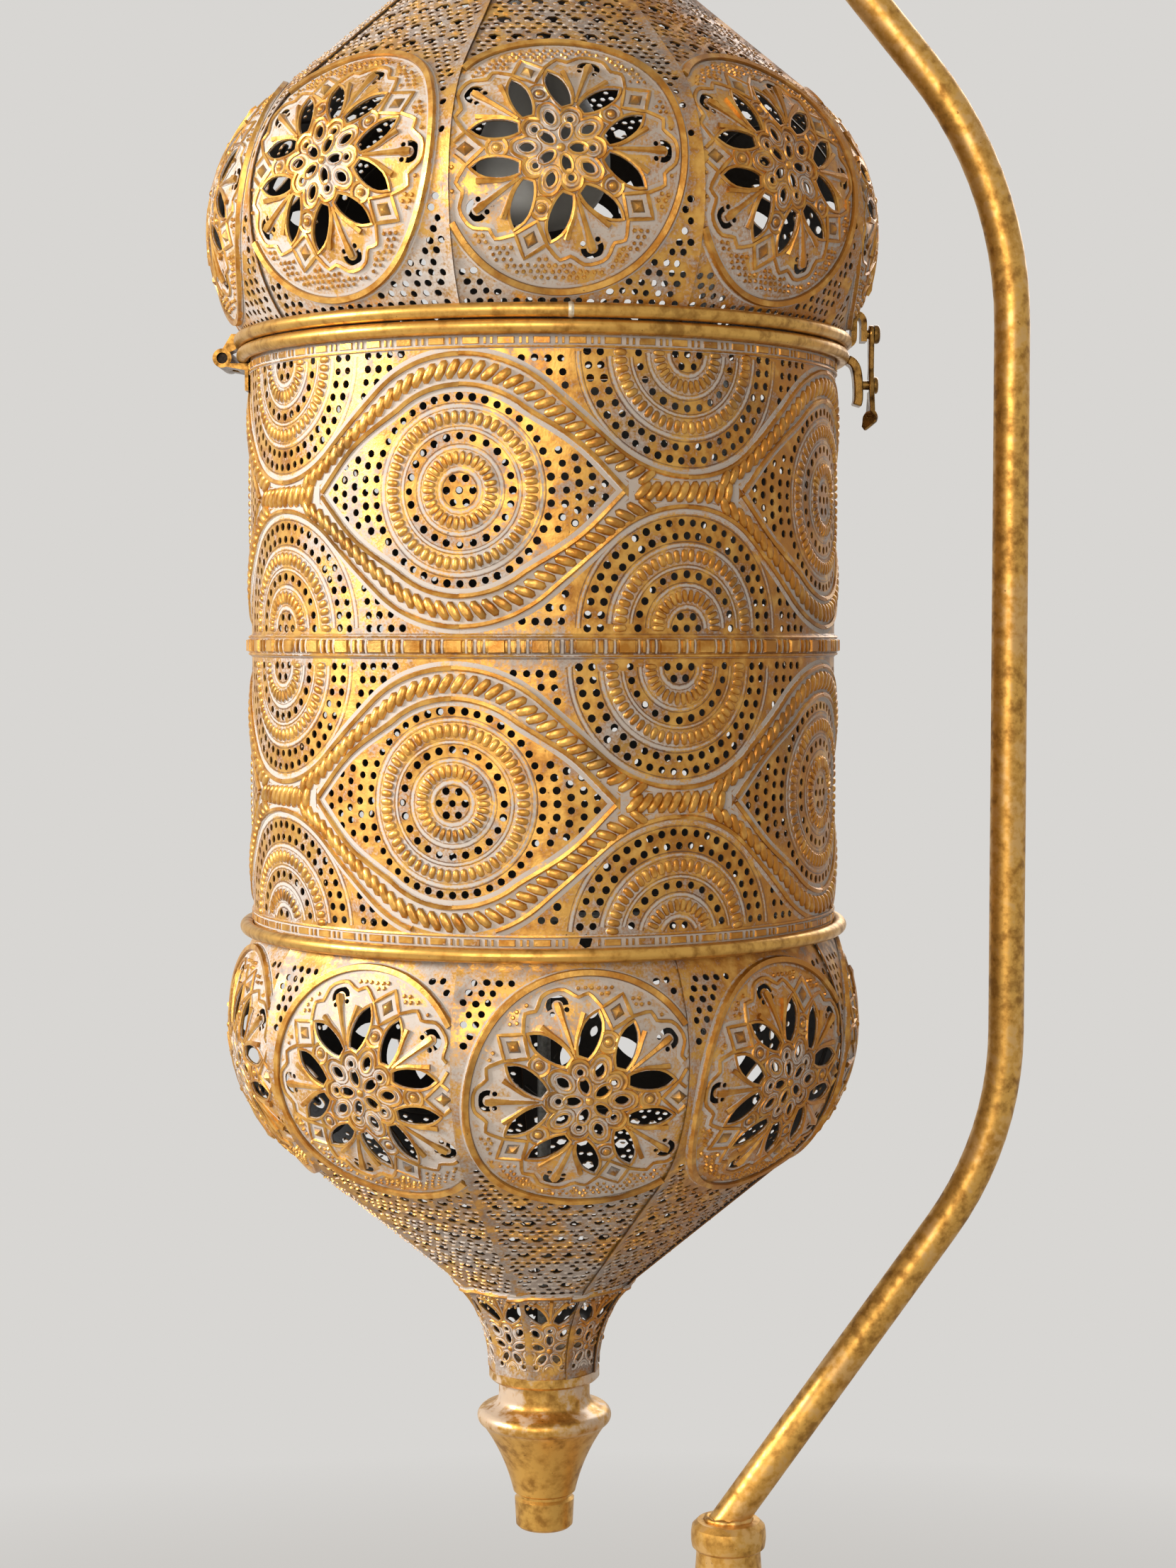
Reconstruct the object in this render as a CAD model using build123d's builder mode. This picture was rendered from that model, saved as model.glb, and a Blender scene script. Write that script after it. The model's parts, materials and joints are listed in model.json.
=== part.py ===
"""Floor lantern: a pierced brass lantern that hangs from the crook of a bowed tube on a weighted foot.

Millimetres, +Z up. The origin is the centre of the foot's underside, on the post's axis.
+X is the side that the tube bows out to, and the lantern hangs towards -X.
"""

import os
from math import asin, ceil, cos, pi, radians, sin, sqrt, tan

from build123d import *

# Places
LANTERN_OFFSET = 84.5  # from the post's axis to the lantern's axis
SEAM_Z = 1300.0  # height of the seam where the lantern opens
COLLAR_TOP_Z = 768.0  # top of the collar that the bowed tube stands on

# Clearances
RUNNING = 0.05  # radial, between a pin and what turns on it
SEAT = 0.1  # between pieces that are seated in each other
LINK_PLAY = 0.3  # between hanging links
LID_GAP = 0.4  # between the two rim wires when the lantern is shut

# Sheet and wire of the lantern
SHEET = 0.8
RIM_WIRE = 6.0
PANEL_COUNT = 9
SEAM_AZIMUTH = -104.0  # of the first panel seam, from +X

# Lantern drum
DRUM_R = 130.4
DRUM_HEIGHT = 256.0  # from the seam to the bottom rim wire's centre
MID_RIB_DEPTH = 131.0  # below the seam
MID_RIB_HEIGHT = 9.4
MID_RIB_PROUD = 1.9

# Dome and bowl, both raised from panels with a bulge, a cone and a neck
DOME_SWELL = 17.9  # of the dome's widest level past the drum's face
DOME_BULGE_Z = 51.4  # height of the widest level above the seam
BOWL_SWELL = 11.0  # of the bowl's widest level past the drum's face
BOWL_EDGE_DROP = 4.2  # of the bowl sheet's bend below the bottom rim wire's centre
SHOULDER_R = 70.0  # of the bulge, on the neck's side
SKIRT_R = 75.0  # of the bulge, on the rim's side
CONE_ANGLE = 50.0  # of the cone, from the vertical
THROAT_R = 62.0  # of the hollow curve into the neck
NECK_R = 24.6
DOME_EDGE = 1.0  # height of the dome sheet's lower edge above the seam
BOWL_TUCK = 5.0  # of the bowl's edge inside the drum

# Pierced medallions
MEDALLION_ANGLE = 11.0  # round the bulge from the widest level, towards the neck
MEDALLION_SHIFT = 6.0  # of its centre, sideways off the panel's middle
SPOKES = 5
PETAL_ROOT_R = 19.5
PETAL_ROOT_ANGLE = 29.0
PETAL_TIP_R = 35.0
PETAL_TIP_ANGLE = 10.5
PETAL_BULGE = 3.4

# Larger slots of the net up the cone of each panel
NET_SLOT_LENGTH = 5.0
NET_SLOT_WIDTH = 2.6
NET_START = 17.0  # of the first row, past the bulge
NET_ROW = 14.4  # from row to row
NET_ROWS = 6
NET_PITCH = 9.8
NET_MARGIN = 4.0  # from a slot's centre to the panel's seam

# Rings of holes in the drum sheets, round the roundels and the half roundels between them
RING_HOLE_D = 3.0
ROUNDEL_PITCH = 189.8  # round the sheet
UPPER_ROUNDEL_TURN = -14.1  # degrees, from the front
LOWER_ROUNDEL_TURN = -15.6
UPPER_ROUNDEL_DEPTH = 68.2  # below the seam
LOWER_ROUNDEL_DEPTH = 194.6
HALF_ROUNDEL_RISE = 55.4  # of a half roundel's centre above and below the roundels
INNER_RING_R = 21.8
INNER_RING_HOLES = 12
OUTER_RING_R = 37.6
OUTER_RING_HOLES = 22
SHEET_MARGIN = 9.0  # from a hole's centre to the drum sheet's edges

# Bottom finial
FINIAL_SHOULDER_R = 25.2
FINIAL_WAIST_R = 20.8
FINIAL_FLANGE_R = 30.6
FINIAL_TIP_R = 13.0
FINIAL_HEIGHT = 74.0
FINIAL_FLANGE_DROP = 21.0
SPIGOT_HEIGHT = 7.0
FINIAL_BEAD = 5.0  # height of the bead under the bowl's neck
FINIAL_WAIST_DROP = 12.5
FINIAL_LIP = 5.0  # from the flange's level down to its lower edge
FINIAL_FOOT = 15.5  # height of the tip's foot, up to the groove over it
FINIAL_BELL_RISE = 20.0  # of the bell's middle above that groove
ROD_DEPTH = 40.0  # of the tie rod's end in the finial

# Small steps that the lathe leaves on turned pieces
TURNED_EDGE = 1.2
TURNED_STEP = 2.4

# Tie rod and crossbar
TIE_ROD_D = 6.0
CROSSBAR_WIDTH = 16.0
CROSSBAR_THICK = 2.5
CROSSBAR_TAB = 12.0

# Neck cap and hanging gear
CAP_SHOULDER_R = 26.6
CAP_WAIST_R = 15.0
CAP_HEIGHT = 18.0
CAP_BRIM = 4.0
CAP_BEAD = 5.5  # height of the bead round the cap's top
STEM_D = 10.0
HANGER_WIRE = 4.0
EYE_INNER_R = 7.0
LINK_LENGTH = 24.0  # between the centres of its two end bars
LINK_WIDTH = 16.0
LINK_CORNER = 6.0
HOOK_DROP = 24.0
HOOK_WIDTH = 17.0
HOOK_CORNER = 6.0
HOOK_NECK = 4.0  # straight run under the ferrule
HOOK_BEND = 2.6
FERRULE_HEIGHT = 12.0
FERRULE_R = 10.0

# Lamp
HOLDER_R = 20.0
HOLDER_HEIGHT = 46.0
HOLDER_CAP_HEIGHT = 18.0
BULB_R = 30.0
BULB_NECK_R = 15.0
BULB_LENGTH = 84.0
BULB_NECK = 8.0  # straight run under the bulb's cap
BULB_CAP_R = 13.0
BULB_CAP_HEIGHT = 24.0

# Hinge
HINGE_STANDOFF = 11.6  # of the pin from the drum's face
HINGE_DROP = 4.0  # of the pin below the seam
BARREL_R = 4.2
HINGE_PIN_D = 4.8
KNUCKLE_LENGTH = 10.0
KNUCKLE_GAP = 0.3
PIN_RECESS = 2.5
LEAF_THICK = 1.5
LEAF_HEIGHT = 12.0

# Latch
LATCH_PIVOT_Z = 8.0  # above the seam
LATCH_STUD_DROP = 14.7  # below the seam
LATCH_TAIL_DROP = 35.0  # below the seam
LATCH_STANDOFF = 15.2  # of the hook's inner face from the drum's face
LATCH_PLATE_THICK = 2.4
LATCH_WIDTH = 8.0
LATCH_SCREW_D = 4.0
LATCH_HEAD_R = 4.2
LATCH_HEAD_THICK = 2.6
STUD_D = 4.0
NOTCH_WIDTH = 5.2
BRACKET_WIDTH = 10.0
BRACKET_THICK = 3.2
KEEPER_BEVEL = 2.0

# Bowed tube
TUBE_D = 16.0
TUBE_WALL = 1.5
BOW_REACH = 125.5  # of the upright run, from the post's axis
BOW_LOW_ANGLE = 35.4  # of the lower slope, from the vertical
BOW_HIGH_ANGLE = 39.2  # of the upper slope, from the vertical
BOW_LOW_R = 155.0
BOW_HIGH_R = 180.0
BOW_TOP_R = 90.0
BOW_HIGH_Z = 1376.0  # where the upright run meets the upper slope

# Post and foot
COLLAR_R = 16.7
COLLAR_HEIGHT = 13.0
COLLAR_CROWN = 0.5
HEAD_NECK_R = 14.7
HEAD_BELLY_R = 20.5
HEAD_HEIGHT = 118.0
HEAD_SOCKET = 22.0
HEAD_BELLY_DROP = 49.5  # of the belly below the head's top
HEAD_BEAD = 12.0  # height of the bead at the head's foot
HEAD_BEAD_WALL = 5.0  # past the post
POST_D = 25.0
POST_WALL = 1.5
POST_ROD_D = 8.0
KNOP_R = 21.0
KNOP_HEIGHT = 46.0
KNOP_FOOT = 9.0  # height of the ring under the knop
KNOP_FOOT_WALL = 5.0  # past the knop
KNOP_BEAD_WALL = 4.5  # past the post
BASE_R = 150.0
BASE_WALL = 1.4
BASE_RIM_HEIGHT = 20.0
BASE_DOME_HEIGHT = 52.0
BASE_CROWN_R = 34.0
BASE_EDGE = 5.0  # slope at the rim's top
BASE_SHELF = 22.0  # width of the flat step inside the rim
BASE_STEP = 8.0  # height of that step over the rim
BASE_SWEEP = 30.0  # of the cover's middle, past the crown
BASE_SWEEP_DROP = 22.0  # of the same below the crown
FELT_THICK = 3.0
WEIGHT_INSET = 16.0  # of the weight's edge from the cover's rim
WEIGHT_THICK = 18.0
BUSH_BORE_R = 4.0
BUSH_R = 6.5
BUSH_FLANGE_R = 8.0
BUSH_FLANGE = 2.0
BUSH_LENGTH = 10.0
BUSH_DROP = 1.0  # of the bush below the rim's middle
NUT_HEIGHT = 8.0
NUT_ACROSS = 13.0
WASHER_R = 24.0
WASHER_THICK = 2.5
WELL_WALL = 4.0  # of the weight's well past the washer
WEIGHT_EASE = 3.0

# Planes and axes
LANTERN_X = -LANTERN_OFFSET
lantern_axis = Axis((LANTERN_X, 0, 0), (0, 0, 1))
lantern_section = Plane(origin=(LANTERN_X, 0, SEAM_Z), x_dir=(1, 0, 0), z_dir=(0, -1, 0))
lantern_level = Plane(origin=(LANTERN_X, 0, SEAM_Z))
link_plane = Plane(origin=(LANTERN_X, 0, SEAM_Z), x_dir=(0, 1, 0), z_dir=(1, 0, 0))
LATCH_PLATE_R = DRUM_R + LATCH_STANDOFF
latch_plane = Plane(
    origin=(LANTERN_X + LATCH_PLATE_R, 0, SEAM_Z), x_dir=(0, 1, 0), z_dir=(1, 0, 0)
)

DOME_R = DRUM_R + DOME_SWELL
BOWL_R = DRUM_R + BOWL_SWELL
HINGE_R = DRUM_R + HINGE_STANDOFF
PANEL_ANGLE = 360 / PANEL_COUNT
WIRE_R = RIM_WIRE / 2
TUBE_R = TUBE_D / 2
POST_R = POST_D / 2

parts = []


def keep(builder, name):
    """Label a finished piece and put it on the list that is written at the end."""
    builder.part.label = name
    parts.append(builder.part)


# Panels of the dome and the bowl


def panel_outline(bulge_r, bulge_z, edge_z, skirt_top, side):
    """One closed strip of sheet from the rim edge to the neck. side is 1 for the dome, -1 for the bowl."""
    skirt_centre = bulge_r - SKIRT_R
    shoulder_centre = bulge_r - SHOULDER_R
    cone = radians(CONE_ANGLE)
    edge_angle = asin((bulge_z - edge_z) * side / SKIRT_R)
    cone_start_r = shoulder_centre + SHOULDER_R * cos(cone)
    cone_start_z = SHOULDER_R * sin(cone)
    throat_r = NECK_R + THROAT_R * (1 - cos(cone))
    throat_z = cone_start_z + (cone_start_r - throat_r) / tan(cone)
    neck_z = throat_z + THROAT_R * sin(cone)

    def edge_line(inset):
        """Points of the sheet's face, from the rim to the neck, moved in by inset."""
        skirt = SKIRT_R - inset
        shoulder = SHOULDER_R - inset
        throat = THROAT_R + inset
        mid = -edge_angle / 2
        return [
            (skirt_centre + skirt * cos(edge_angle), -skirt * sin(edge_angle)),
            (skirt_centre + skirt * cos(mid), skirt * sin(mid)),
            (bulge_r - inset, 0),
            (shoulder_centre + shoulder * cos(cone / 2), shoulder * sin(cone / 2)),
            (shoulder_centre + shoulder * cos(cone), shoulder * sin(cone)),
            (NECK_R + THROAT_R - throat * cos(cone), neck_z - throat * sin(cone)),
            (NECK_R + THROAT_R - throat * cos(cone / 2), neck_z - throat * sin(cone / 2)),
            (NECK_R - inset, neck_z),
        ]

    def place(points):
        return [(r, bulge_z + side * z) for r, z in points]

    outer = place(edge_line(0))
    inner = place(edge_line(SHEET))
    with BuildLine() as strip:
        for face in (outer, inner):
            ThreePointArc(face[0], face[1], face[2])
            ThreePointArc(face[2], face[3], face[4])
            Line(face[4], face[5])
            ThreePointArc(face[5], face[6], face[7])
        Line(outer[7], inner[7])
        if skirt_top is None:
            Line(outer[0], inner[0])
        else:
            Line(outer[0], (outer[0][0], skirt_top))
            Line((outer[0][0], skirt_top), (inner[0][0], skirt_top))
            Line((inner[0][0], skirt_top), inner[0])
    return strip.line, bulge_z + side * neck_z


with BuildSketch() as petal_pair:
    with BuildLine() as petal_edge:
        root = (
            PETAL_ROOT_R * cos(radians(PETAL_ROOT_ANGLE)),
            PETAL_ROOT_R * sin(radians(PETAL_ROOT_ANGLE)),
        )
        tip = (
            PETAL_TIP_R * cos(radians(PETAL_TIP_ANGLE)),
            PETAL_TIP_R * sin(radians(PETAL_TIP_ANGLE)),
        )
        SagittaArc(root, tip, PETAL_BULGE)
        SagittaArc(root, tip, -PETAL_BULGE)
    make_face()
    mirror(about=Plane.XZ)


def medallion_plane(bulge_r, bulge_z, side):
    """The plane that touches a panel at its medallion's centre, with one spoke level."""
    azimuth = radians(SEAM_AZIMUTH + PANEL_ANGLE / 2)
    angle = radians(MEDALLION_ANGLE)
    r = bulge_r - SHOULDER_R + SHOULDER_R * cos(angle)
    z = bulge_z + side * SHOULDER_R * sin(angle)
    outward = (cos(azimuth) * cos(angle), sin(azimuth) * cos(angle), side * sin(angle))
    across = (side * sin(azimuth), -side * cos(azimuth), 0)
    centre = (LANTERN_X + r * cos(azimuth), r * sin(azimuth), SEAM_Z + z)
    return Plane(origin=centre, x_dir=across, z_dir=outward).move(Location(MEDALLION_SHIFT * Vector(across)))


def net_slots(bulge_r, bulge_z, side):
    """Planes of the staggered rows of slots up a panel's cone, with x level across the panel."""
    cone = radians(CONE_ANGLE)
    middle = radians(SEAM_AZIMUTH + PANEL_ANGLE / 2)
    places = []
    for row in range(NET_ROWS):
        run = NET_START + row * NET_ROW
        r = bulge_r - SHOULDER_R * (1 - cos(cone)) - run * sin(cone)
        z = bulge_z + side * (SHOULDER_R * sin(cone) + run * cos(cone))
        reach = r * radians(PANEL_ANGLE) / 2 - NET_MARGIN
        steps = int(reach / NET_PITCH) + 1
        alongs = [(step + row % 2 / 2) * NET_PITCH for step in range(-steps, steps)]
        for along in alongs:
            azimuth = middle + along / r
            outward = (cos(azimuth) * cos(cone), sin(azimuth) * cos(cone), side * sin(cone))
            centre = (LANTERN_X + r * cos(azimuth), r * sin(azimuth), SEAM_Z + z)
            if abs(along) < reach:
                places.append(Plane(origin=centre, x_dir=(-sin(azimuth), cos(azimuth), 0), z_dir=outward))
    return places


def panel_section():
    """The lantern's section plane, turned to the first panel seam."""
    azimuth = radians(SEAM_AZIMUTH)
    along = (cos(azimuth), sin(azimuth), 0)
    normal = (sin(azimuth), -cos(azimuth), 0)
    return Plane(origin=(LANTERN_X, 0, SEAM_Z), x_dir=along, z_dir=normal)


def turned_panels(builder, name):
    """The panels all round, each turned from the first."""
    for place in range(PANEL_COUNT):
        panel = builder.part.rotate(lantern_axis, place * PANEL_ANGLE)
        panel.label = f"{name}_{place + 1}"
        parts.append(panel)


PIERCE_DEPTH = 20.0  # of the cutters through the sheet

dome_line, DOME_NECK_Z = panel_outline(DOME_R, DOME_BULGE_Z, DOME_EDGE, None, 1)
with BuildPart() as dome_panel:
    with BuildSketch(panel_section()):
        with BuildLine():
            add(dome_line)
        make_face()
    revolve(axis=lantern_axis, revolution_arc=PANEL_ANGLE)
    with BuildSketch(medallion_plane(DOME_R, DOME_BULGE_Z, 1)):
        with PolarLocations(0, SPOKES):
            add(petal_pair.sketch)
    extrude(amount=PIERCE_DEPTH, both=True, mode=Mode.SUBTRACT)
    with Locations(*net_slots(DOME_R, DOME_BULGE_Z, 1)):
        Box(NET_SLOT_LENGTH, NET_SLOT_WIDTH, PIERCE_DEPTH, mode=Mode.SUBTRACT)
turned_panels(dome_panel, "dome_panel")

BOWL_EDGE_R = DRUM_R - SHEET - SEAT
BOWL_EDGE_Z = -DRUM_HEIGHT - BOWL_EDGE_DROP
BOWL_BULGE_Z = BOWL_EDGE_Z - sqrt(SKIRT_R**2 - (BOWL_EDGE_R - BOWL_R + SKIRT_R) ** 2)
bowl_line, BOWL_NECK_Z = panel_outline(
    BOWL_R, BOWL_BULGE_Z, BOWL_EDGE_Z, BOWL_EDGE_Z + BOWL_TUCK, -1
)
with BuildPart() as bowl_panel:
    with BuildSketch(panel_section()):
        with BuildLine():
            add(bowl_line)
        make_face()
    revolve(axis=lantern_axis, revolution_arc=PANEL_ANGLE)
    with BuildSketch(medallion_plane(BOWL_R, BOWL_BULGE_Z, -1)):
        with PolarLocations(0, SPOKES):
            add(petal_pair.sketch)
    extrude(amount=PIERCE_DEPTH, both=True, mode=Mode.SUBTRACT)
    with Locations(*net_slots(BOWL_R, BOWL_BULGE_Z, -1)):
        Box(NET_SLOT_LENGTH, NET_SLOT_WIDTH, PIERCE_DEPTH, mode=Mode.SUBTRACT)
turned_panels(bowl_panel, "bowl_panel")

# Drum sheets, rim wires and mid rib


def rim_wire(centre_r, centre_z):
    """A closed ring of round wire about the lantern's axis."""
    with BuildPart() as ring:
        with BuildSketch(lantern_section):
            with Locations((centre_r, centre_z)):
                Circle(WIRE_R)
        revolve(axis=lantern_axis)
    return ring


def ring_places(centre_u, centre_z, ring_r, holes):
    """Places of one ring of holes on the flat sheet."""
    angles = [2 * pi * hole / holes for hole in range(holes)]
    return [(centre_u + ring_r * cos(a), centre_z + ring_r * sin(a)) for a in angles]


def ring_holes(turn, depth, top_z, bottom_z):
    """Planes of a drum sheet's holes, laid out from the front and kept off its edges and its back seam."""
    front_u = radians(turn) * DRUM_R
    around = pi * DRUM_R - SHEET_MARGIN
    steps = ceil(2 * pi * DRUM_R / ROUNDEL_PITCH)
    flat = []
    for step in range(-steps, steps + 1):
        rises = (-HALF_ROUNDEL_RISE, HALF_ROUNDEL_RISE) if step % 2 else (0,)
        for rise in rises:
            centre = (front_u + step * ROUNDEL_PITCH / 2, rise - depth)
            flat += ring_places(*centre, INNER_RING_R, INNER_RING_HOLES)
            flat += ring_places(*centre, OUTER_RING_R, OUTER_RING_HOLES)
    planes = []
    for u, z in flat:
        azimuth = u / DRUM_R - pi / 2
        outward = (cos(azimuth), sin(azimuth), 0)
        centre = (LANTERN_X + DRUM_R * outward[0], DRUM_R * outward[1], SEAM_Z + z)
        if abs(u) < around and bottom_z + SHEET_MARGIN < z < top_z - SHEET_MARGIN:
            planes.append(Plane(origin=centre, z_dir=outward))
    return planes


def drum_sheet(top_z, bottom_z, turn, depth):
    """One ring of the drum's sheet, pierced with rings of holes."""
    with BuildPart() as sheet:
        with BuildSketch(lantern_level.offset(bottom_z)):
            Circle(DRUM_R)
            Circle(DRUM_R - SHEET, mode=Mode.SUBTRACT)
        extrude(amount=top_z - bottom_z)
        with Locations(*ring_holes(turn, depth, top_z, bottom_z)):
            Cylinder(RING_HOLE_D / 2, PIERCE_DEPTH, mode=Mode.SUBTRACT)
    return sheet


WIRE_LEVEL = WIRE_R + LID_GAP / 2
DRUM_WIRE_R = DRUM_R + WIRE_R + SEAT
DRUM_TOP_Z = -LID_GAP
DRUM_BOTTOM_Z = -DRUM_HEIGHT - WIRE_R
# The dome's wire lies against the sheet where the sheet passes the wire's top
skirt_at_wire = DOME_R - SKIRT_R + sqrt(SKIRT_R**2 - (DOME_BULGE_Z - WIRE_LEVEL - WIRE_R) ** 2)
DOME_WIRE_R = skirt_at_wire + WIRE_R / 2

dome_rim_wire = rim_wire(DOME_WIRE_R, WIRE_LEVEL)
keep(dome_rim_wire, "dome_rim_wire")
drum_rim_wire = rim_wire(DRUM_WIRE_R, -WIRE_LEVEL)
keep(drum_rim_wire, "drum_rim_wire")
bottom_rim_wire = rim_wire(DRUM_WIRE_R, -DRUM_HEIGHT)
keep(bottom_rim_wire, "bottom_rim_wire")
upper_drum_sheet = drum_sheet(DRUM_TOP_Z, -MID_RIB_DEPTH, UPPER_ROUNDEL_TURN, UPPER_ROUNDEL_DEPTH)
keep(upper_drum_sheet, "upper_drum_sheet")
lower_drum_sheet = drum_sheet(-MID_RIB_DEPTH, DRUM_BOTTOM_Z, LOWER_ROUNDEL_TURN, LOWER_ROUNDEL_DEPTH)
keep(lower_drum_sheet, "lower_drum_sheet")

with BuildPart() as mid_rib:
    with BuildSketch(lantern_section):
        with BuildLine():
            low = (DRUM_R + SEAT / 2, -MID_RIB_DEPTH - MID_RIB_HEIGHT / 2)
            high = (DRUM_R + SEAT / 2, -MID_RIB_DEPTH + MID_RIB_HEIGHT / 2)
            Line(low, high)
            ThreePointArc(low, (DRUM_R + MID_RIB_PROUD, -MID_RIB_DEPTH), high)
        make_face()
    revolve(axis=lantern_axis)
keep(mid_rib, "mid_rib")

# Crossbar, tie rod and finial at the bottom of the lantern

CROSSBAR_Z = BOWL_EDGE_Z + BOWL_TUCK + SEAT
crossbar_reach = sqrt((DRUM_R - SHEET) ** 2 - (CROSSBAR_WIDTH / 2) ** 2) - SEAT
with BuildPart() as crossbar:
    with BuildSketch(lantern_level.offset(CROSSBAR_Z)):
        Rectangle(2 * crossbar_reach, CROSSBAR_WIDTH)
        Circle(TIE_ROD_D / 2 + SEAT, mode=Mode.SUBTRACT)
    extrude(amount=CROSSBAR_THICK)
    with BuildSketch(lantern_level.offset(CROSSBAR_Z)):
        with Locations((crossbar_reach - CROSSBAR_THICK / 2, 0), (CROSSBAR_THICK / 2 - crossbar_reach, 0)):
            Rectangle(CROSSBAR_THICK, CROSSBAR_WIDTH)
    extrude(amount=CROSSBAR_TAB)
keep(crossbar, "crossbar")

ROD_TOP_Z = CROSSBAR_Z + CROSSBAR_THICK + NUT_HEIGHT + 4 * SHEET
with BuildPart() as tie_rod:
    with BuildSketch(lantern_level.offset(BOWL_NECK_Z - ROD_DEPTH)):
        Circle(TIE_ROD_D / 2)
    extrude(amount=ROD_TOP_Z - BOWL_NECK_Z + ROD_DEPTH)
keep(tie_rod, "tie_rod")


def hex_nut(level, across, bore_d):
    """A plain hexagon nut standing on a level plane."""
    with BuildPart() as nut:
        with BuildSketch(level):
            RegularPolygon(across / 2, 6, major_radius=False)
            Circle(bore_d / 2 + RUNNING, mode=Mode.SUBTRACT)
        extrude(amount=NUT_HEIGHT)
    return nut


tie_rod_nut = hex_nut(lantern_level.offset(CROSSBAR_Z + CROSSBAR_THICK), NUT_ACROSS, TIE_ROD_D)
keep(tie_rod_nut, "tie_rod_nut")
tie_rod_jam_nut = hex_nut(lantern_level.offset(CROSSBAR_Z - NUT_HEIGHT), NUT_ACROSS, TIE_ROD_D)
keep(tie_rod_jam_nut, "tie_rod_jam_nut")

with BuildPart() as finial:
    with BuildSketch(lantern_section):
        with BuildLine():
            shoulder_z = BOWL_NECK_Z
            flange_z = shoulder_z - FINIAL_FLANGE_DROP
            tip_z = shoulder_z - FINIAL_HEIGHT
            bead_z = shoulder_z - FINIAL_BEAD
            waist_z = shoulder_z - FINIAL_WAIST_DROP
            lip_z = flange_z - FINIAL_LIP
            groove_z = tip_z + FINIAL_FOOT
            bell_foot = (FINIAL_TIP_R + TURNED_EDGE, groove_z + TURNED_EDGE)
            flange_low = (FINIAL_FLANGE_R - TURNED_STEP, lip_z)
            flange_high = (FINIAL_FLANGE_R - TURNED_STEP, flange_z + TURNED_STEP)
            Polyline(
                (0, tip_z),
                (FINIAL_TIP_R - TURNED_EDGE, tip_z),
                (FINIAL_TIP_R, tip_z + TURNED_EDGE),
                (FINIAL_TIP_R + TURNED_EDGE / 2, groove_z - TURNED_STEP),
                (FINIAL_TIP_R - TURNED_EDGE / 2, groove_z - TURNED_EDGE),
                (FINIAL_TIP_R - TURNED_EDGE / 2, groove_z),
                bell_foot,
            )
            Spline(
                bell_foot,
                (FINIAL_WAIST_R, groove_z + FINIAL_BELL_RISE),
                flange_low,
            )
            ThreePointArc(flange_low, (FINIAL_FLANGE_R, flange_z - TURNED_EDGE), flange_high)
            Spline(
                flange_high,
                (FINIAL_WAIST_R + TURNED_STEP, (flange_z + waist_z) / 2),
                (FINIAL_WAIST_R, waist_z),
                tangents=[(-1, 0.35), (0, 1)],
            )
            Polyline(
                (FINIAL_WAIST_R, waist_z),
                (FINIAL_WAIST_R, bead_z),
                (FINIAL_SHOULDER_R - TURNED_EDGE, bead_z),
                (FINIAL_SHOULDER_R, bead_z + TURNED_EDGE),
                (FINIAL_SHOULDER_R, shoulder_z),
                (NECK_R - SHEET - SEAT, shoulder_z),
                (NECK_R - SHEET - SEAT, shoulder_z + SPIGOT_HEIGHT),
                (0, shoulder_z + SPIGOT_HEIGHT),
                (0, tip_z),
            )
        make_face()
    revolve(axis=lantern_axis)
    with BuildSketch(lantern_level.offset(shoulder_z + SPIGOT_HEIGHT)):
        Circle(TIE_ROD_D / 2 + RUNNING)
    extrude(amount=-(ROD_DEPTH + SPIGOT_HEIGHT), mode=Mode.SUBTRACT)
keep(finial, "finial")

# Neck cap, eye, link and hook

CAP_TOP_Z = DOME_NECK_Z + CAP_HEIGHT
with BuildPart() as neck_cap:
    with BuildSketch(lantern_section):
        with BuildLine():
            spigot_r = NECK_R - SHEET - SEAT
            brim_z = DOME_NECK_Z + CAP_BRIM
            brim_edge = (CAP_SHOULDER_R - TURNED_EDGE, brim_z)
            waist = (CAP_WAIST_R, CAP_TOP_Z - CAP_BEAD)
            Polyline(
                (0, DOME_NECK_Z - SPIGOT_HEIGHT),
                (spigot_r, DOME_NECK_Z - SPIGOT_HEIGHT),
                (spigot_r, DOME_NECK_Z),
                (CAP_SHOULDER_R, DOME_NECK_Z),
                (CAP_SHOULDER_R, brim_z - TURNED_EDGE),
                brim_edge,
            )
            Spline(
                brim_edge,
                (CAP_WAIST_R + TURNED_STEP, (brim_z + waist[1]) / 2),
                waist,
                tangents=[(-1, 0.1), (-0.2, 1)],
            )
            Polyline(
                waist,
                (CAP_WAIST_R + TURNED_EDGE, CAP_TOP_Z - CAP_BEAD + TURNED_EDGE),
                (CAP_WAIST_R + TURNED_EDGE, CAP_TOP_Z - TURNED_EDGE),
                (CAP_WAIST_R, CAP_TOP_Z),
                (0, CAP_TOP_Z),
                (0, DOME_NECK_Z - SPIGOT_HEIGHT),
            )
        make_face()
    revolve(axis=lantern_axis)
    with BuildSketch(lantern_level.offset(CAP_TOP_Z)):
        Circle(STEM_D / 2 + RUNNING)
    extrude(amount=-(CAP_HEIGHT + SPIGOT_HEIGHT), mode=Mode.SUBTRACT)
keep(neck_cap, "neck_cap")

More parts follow.
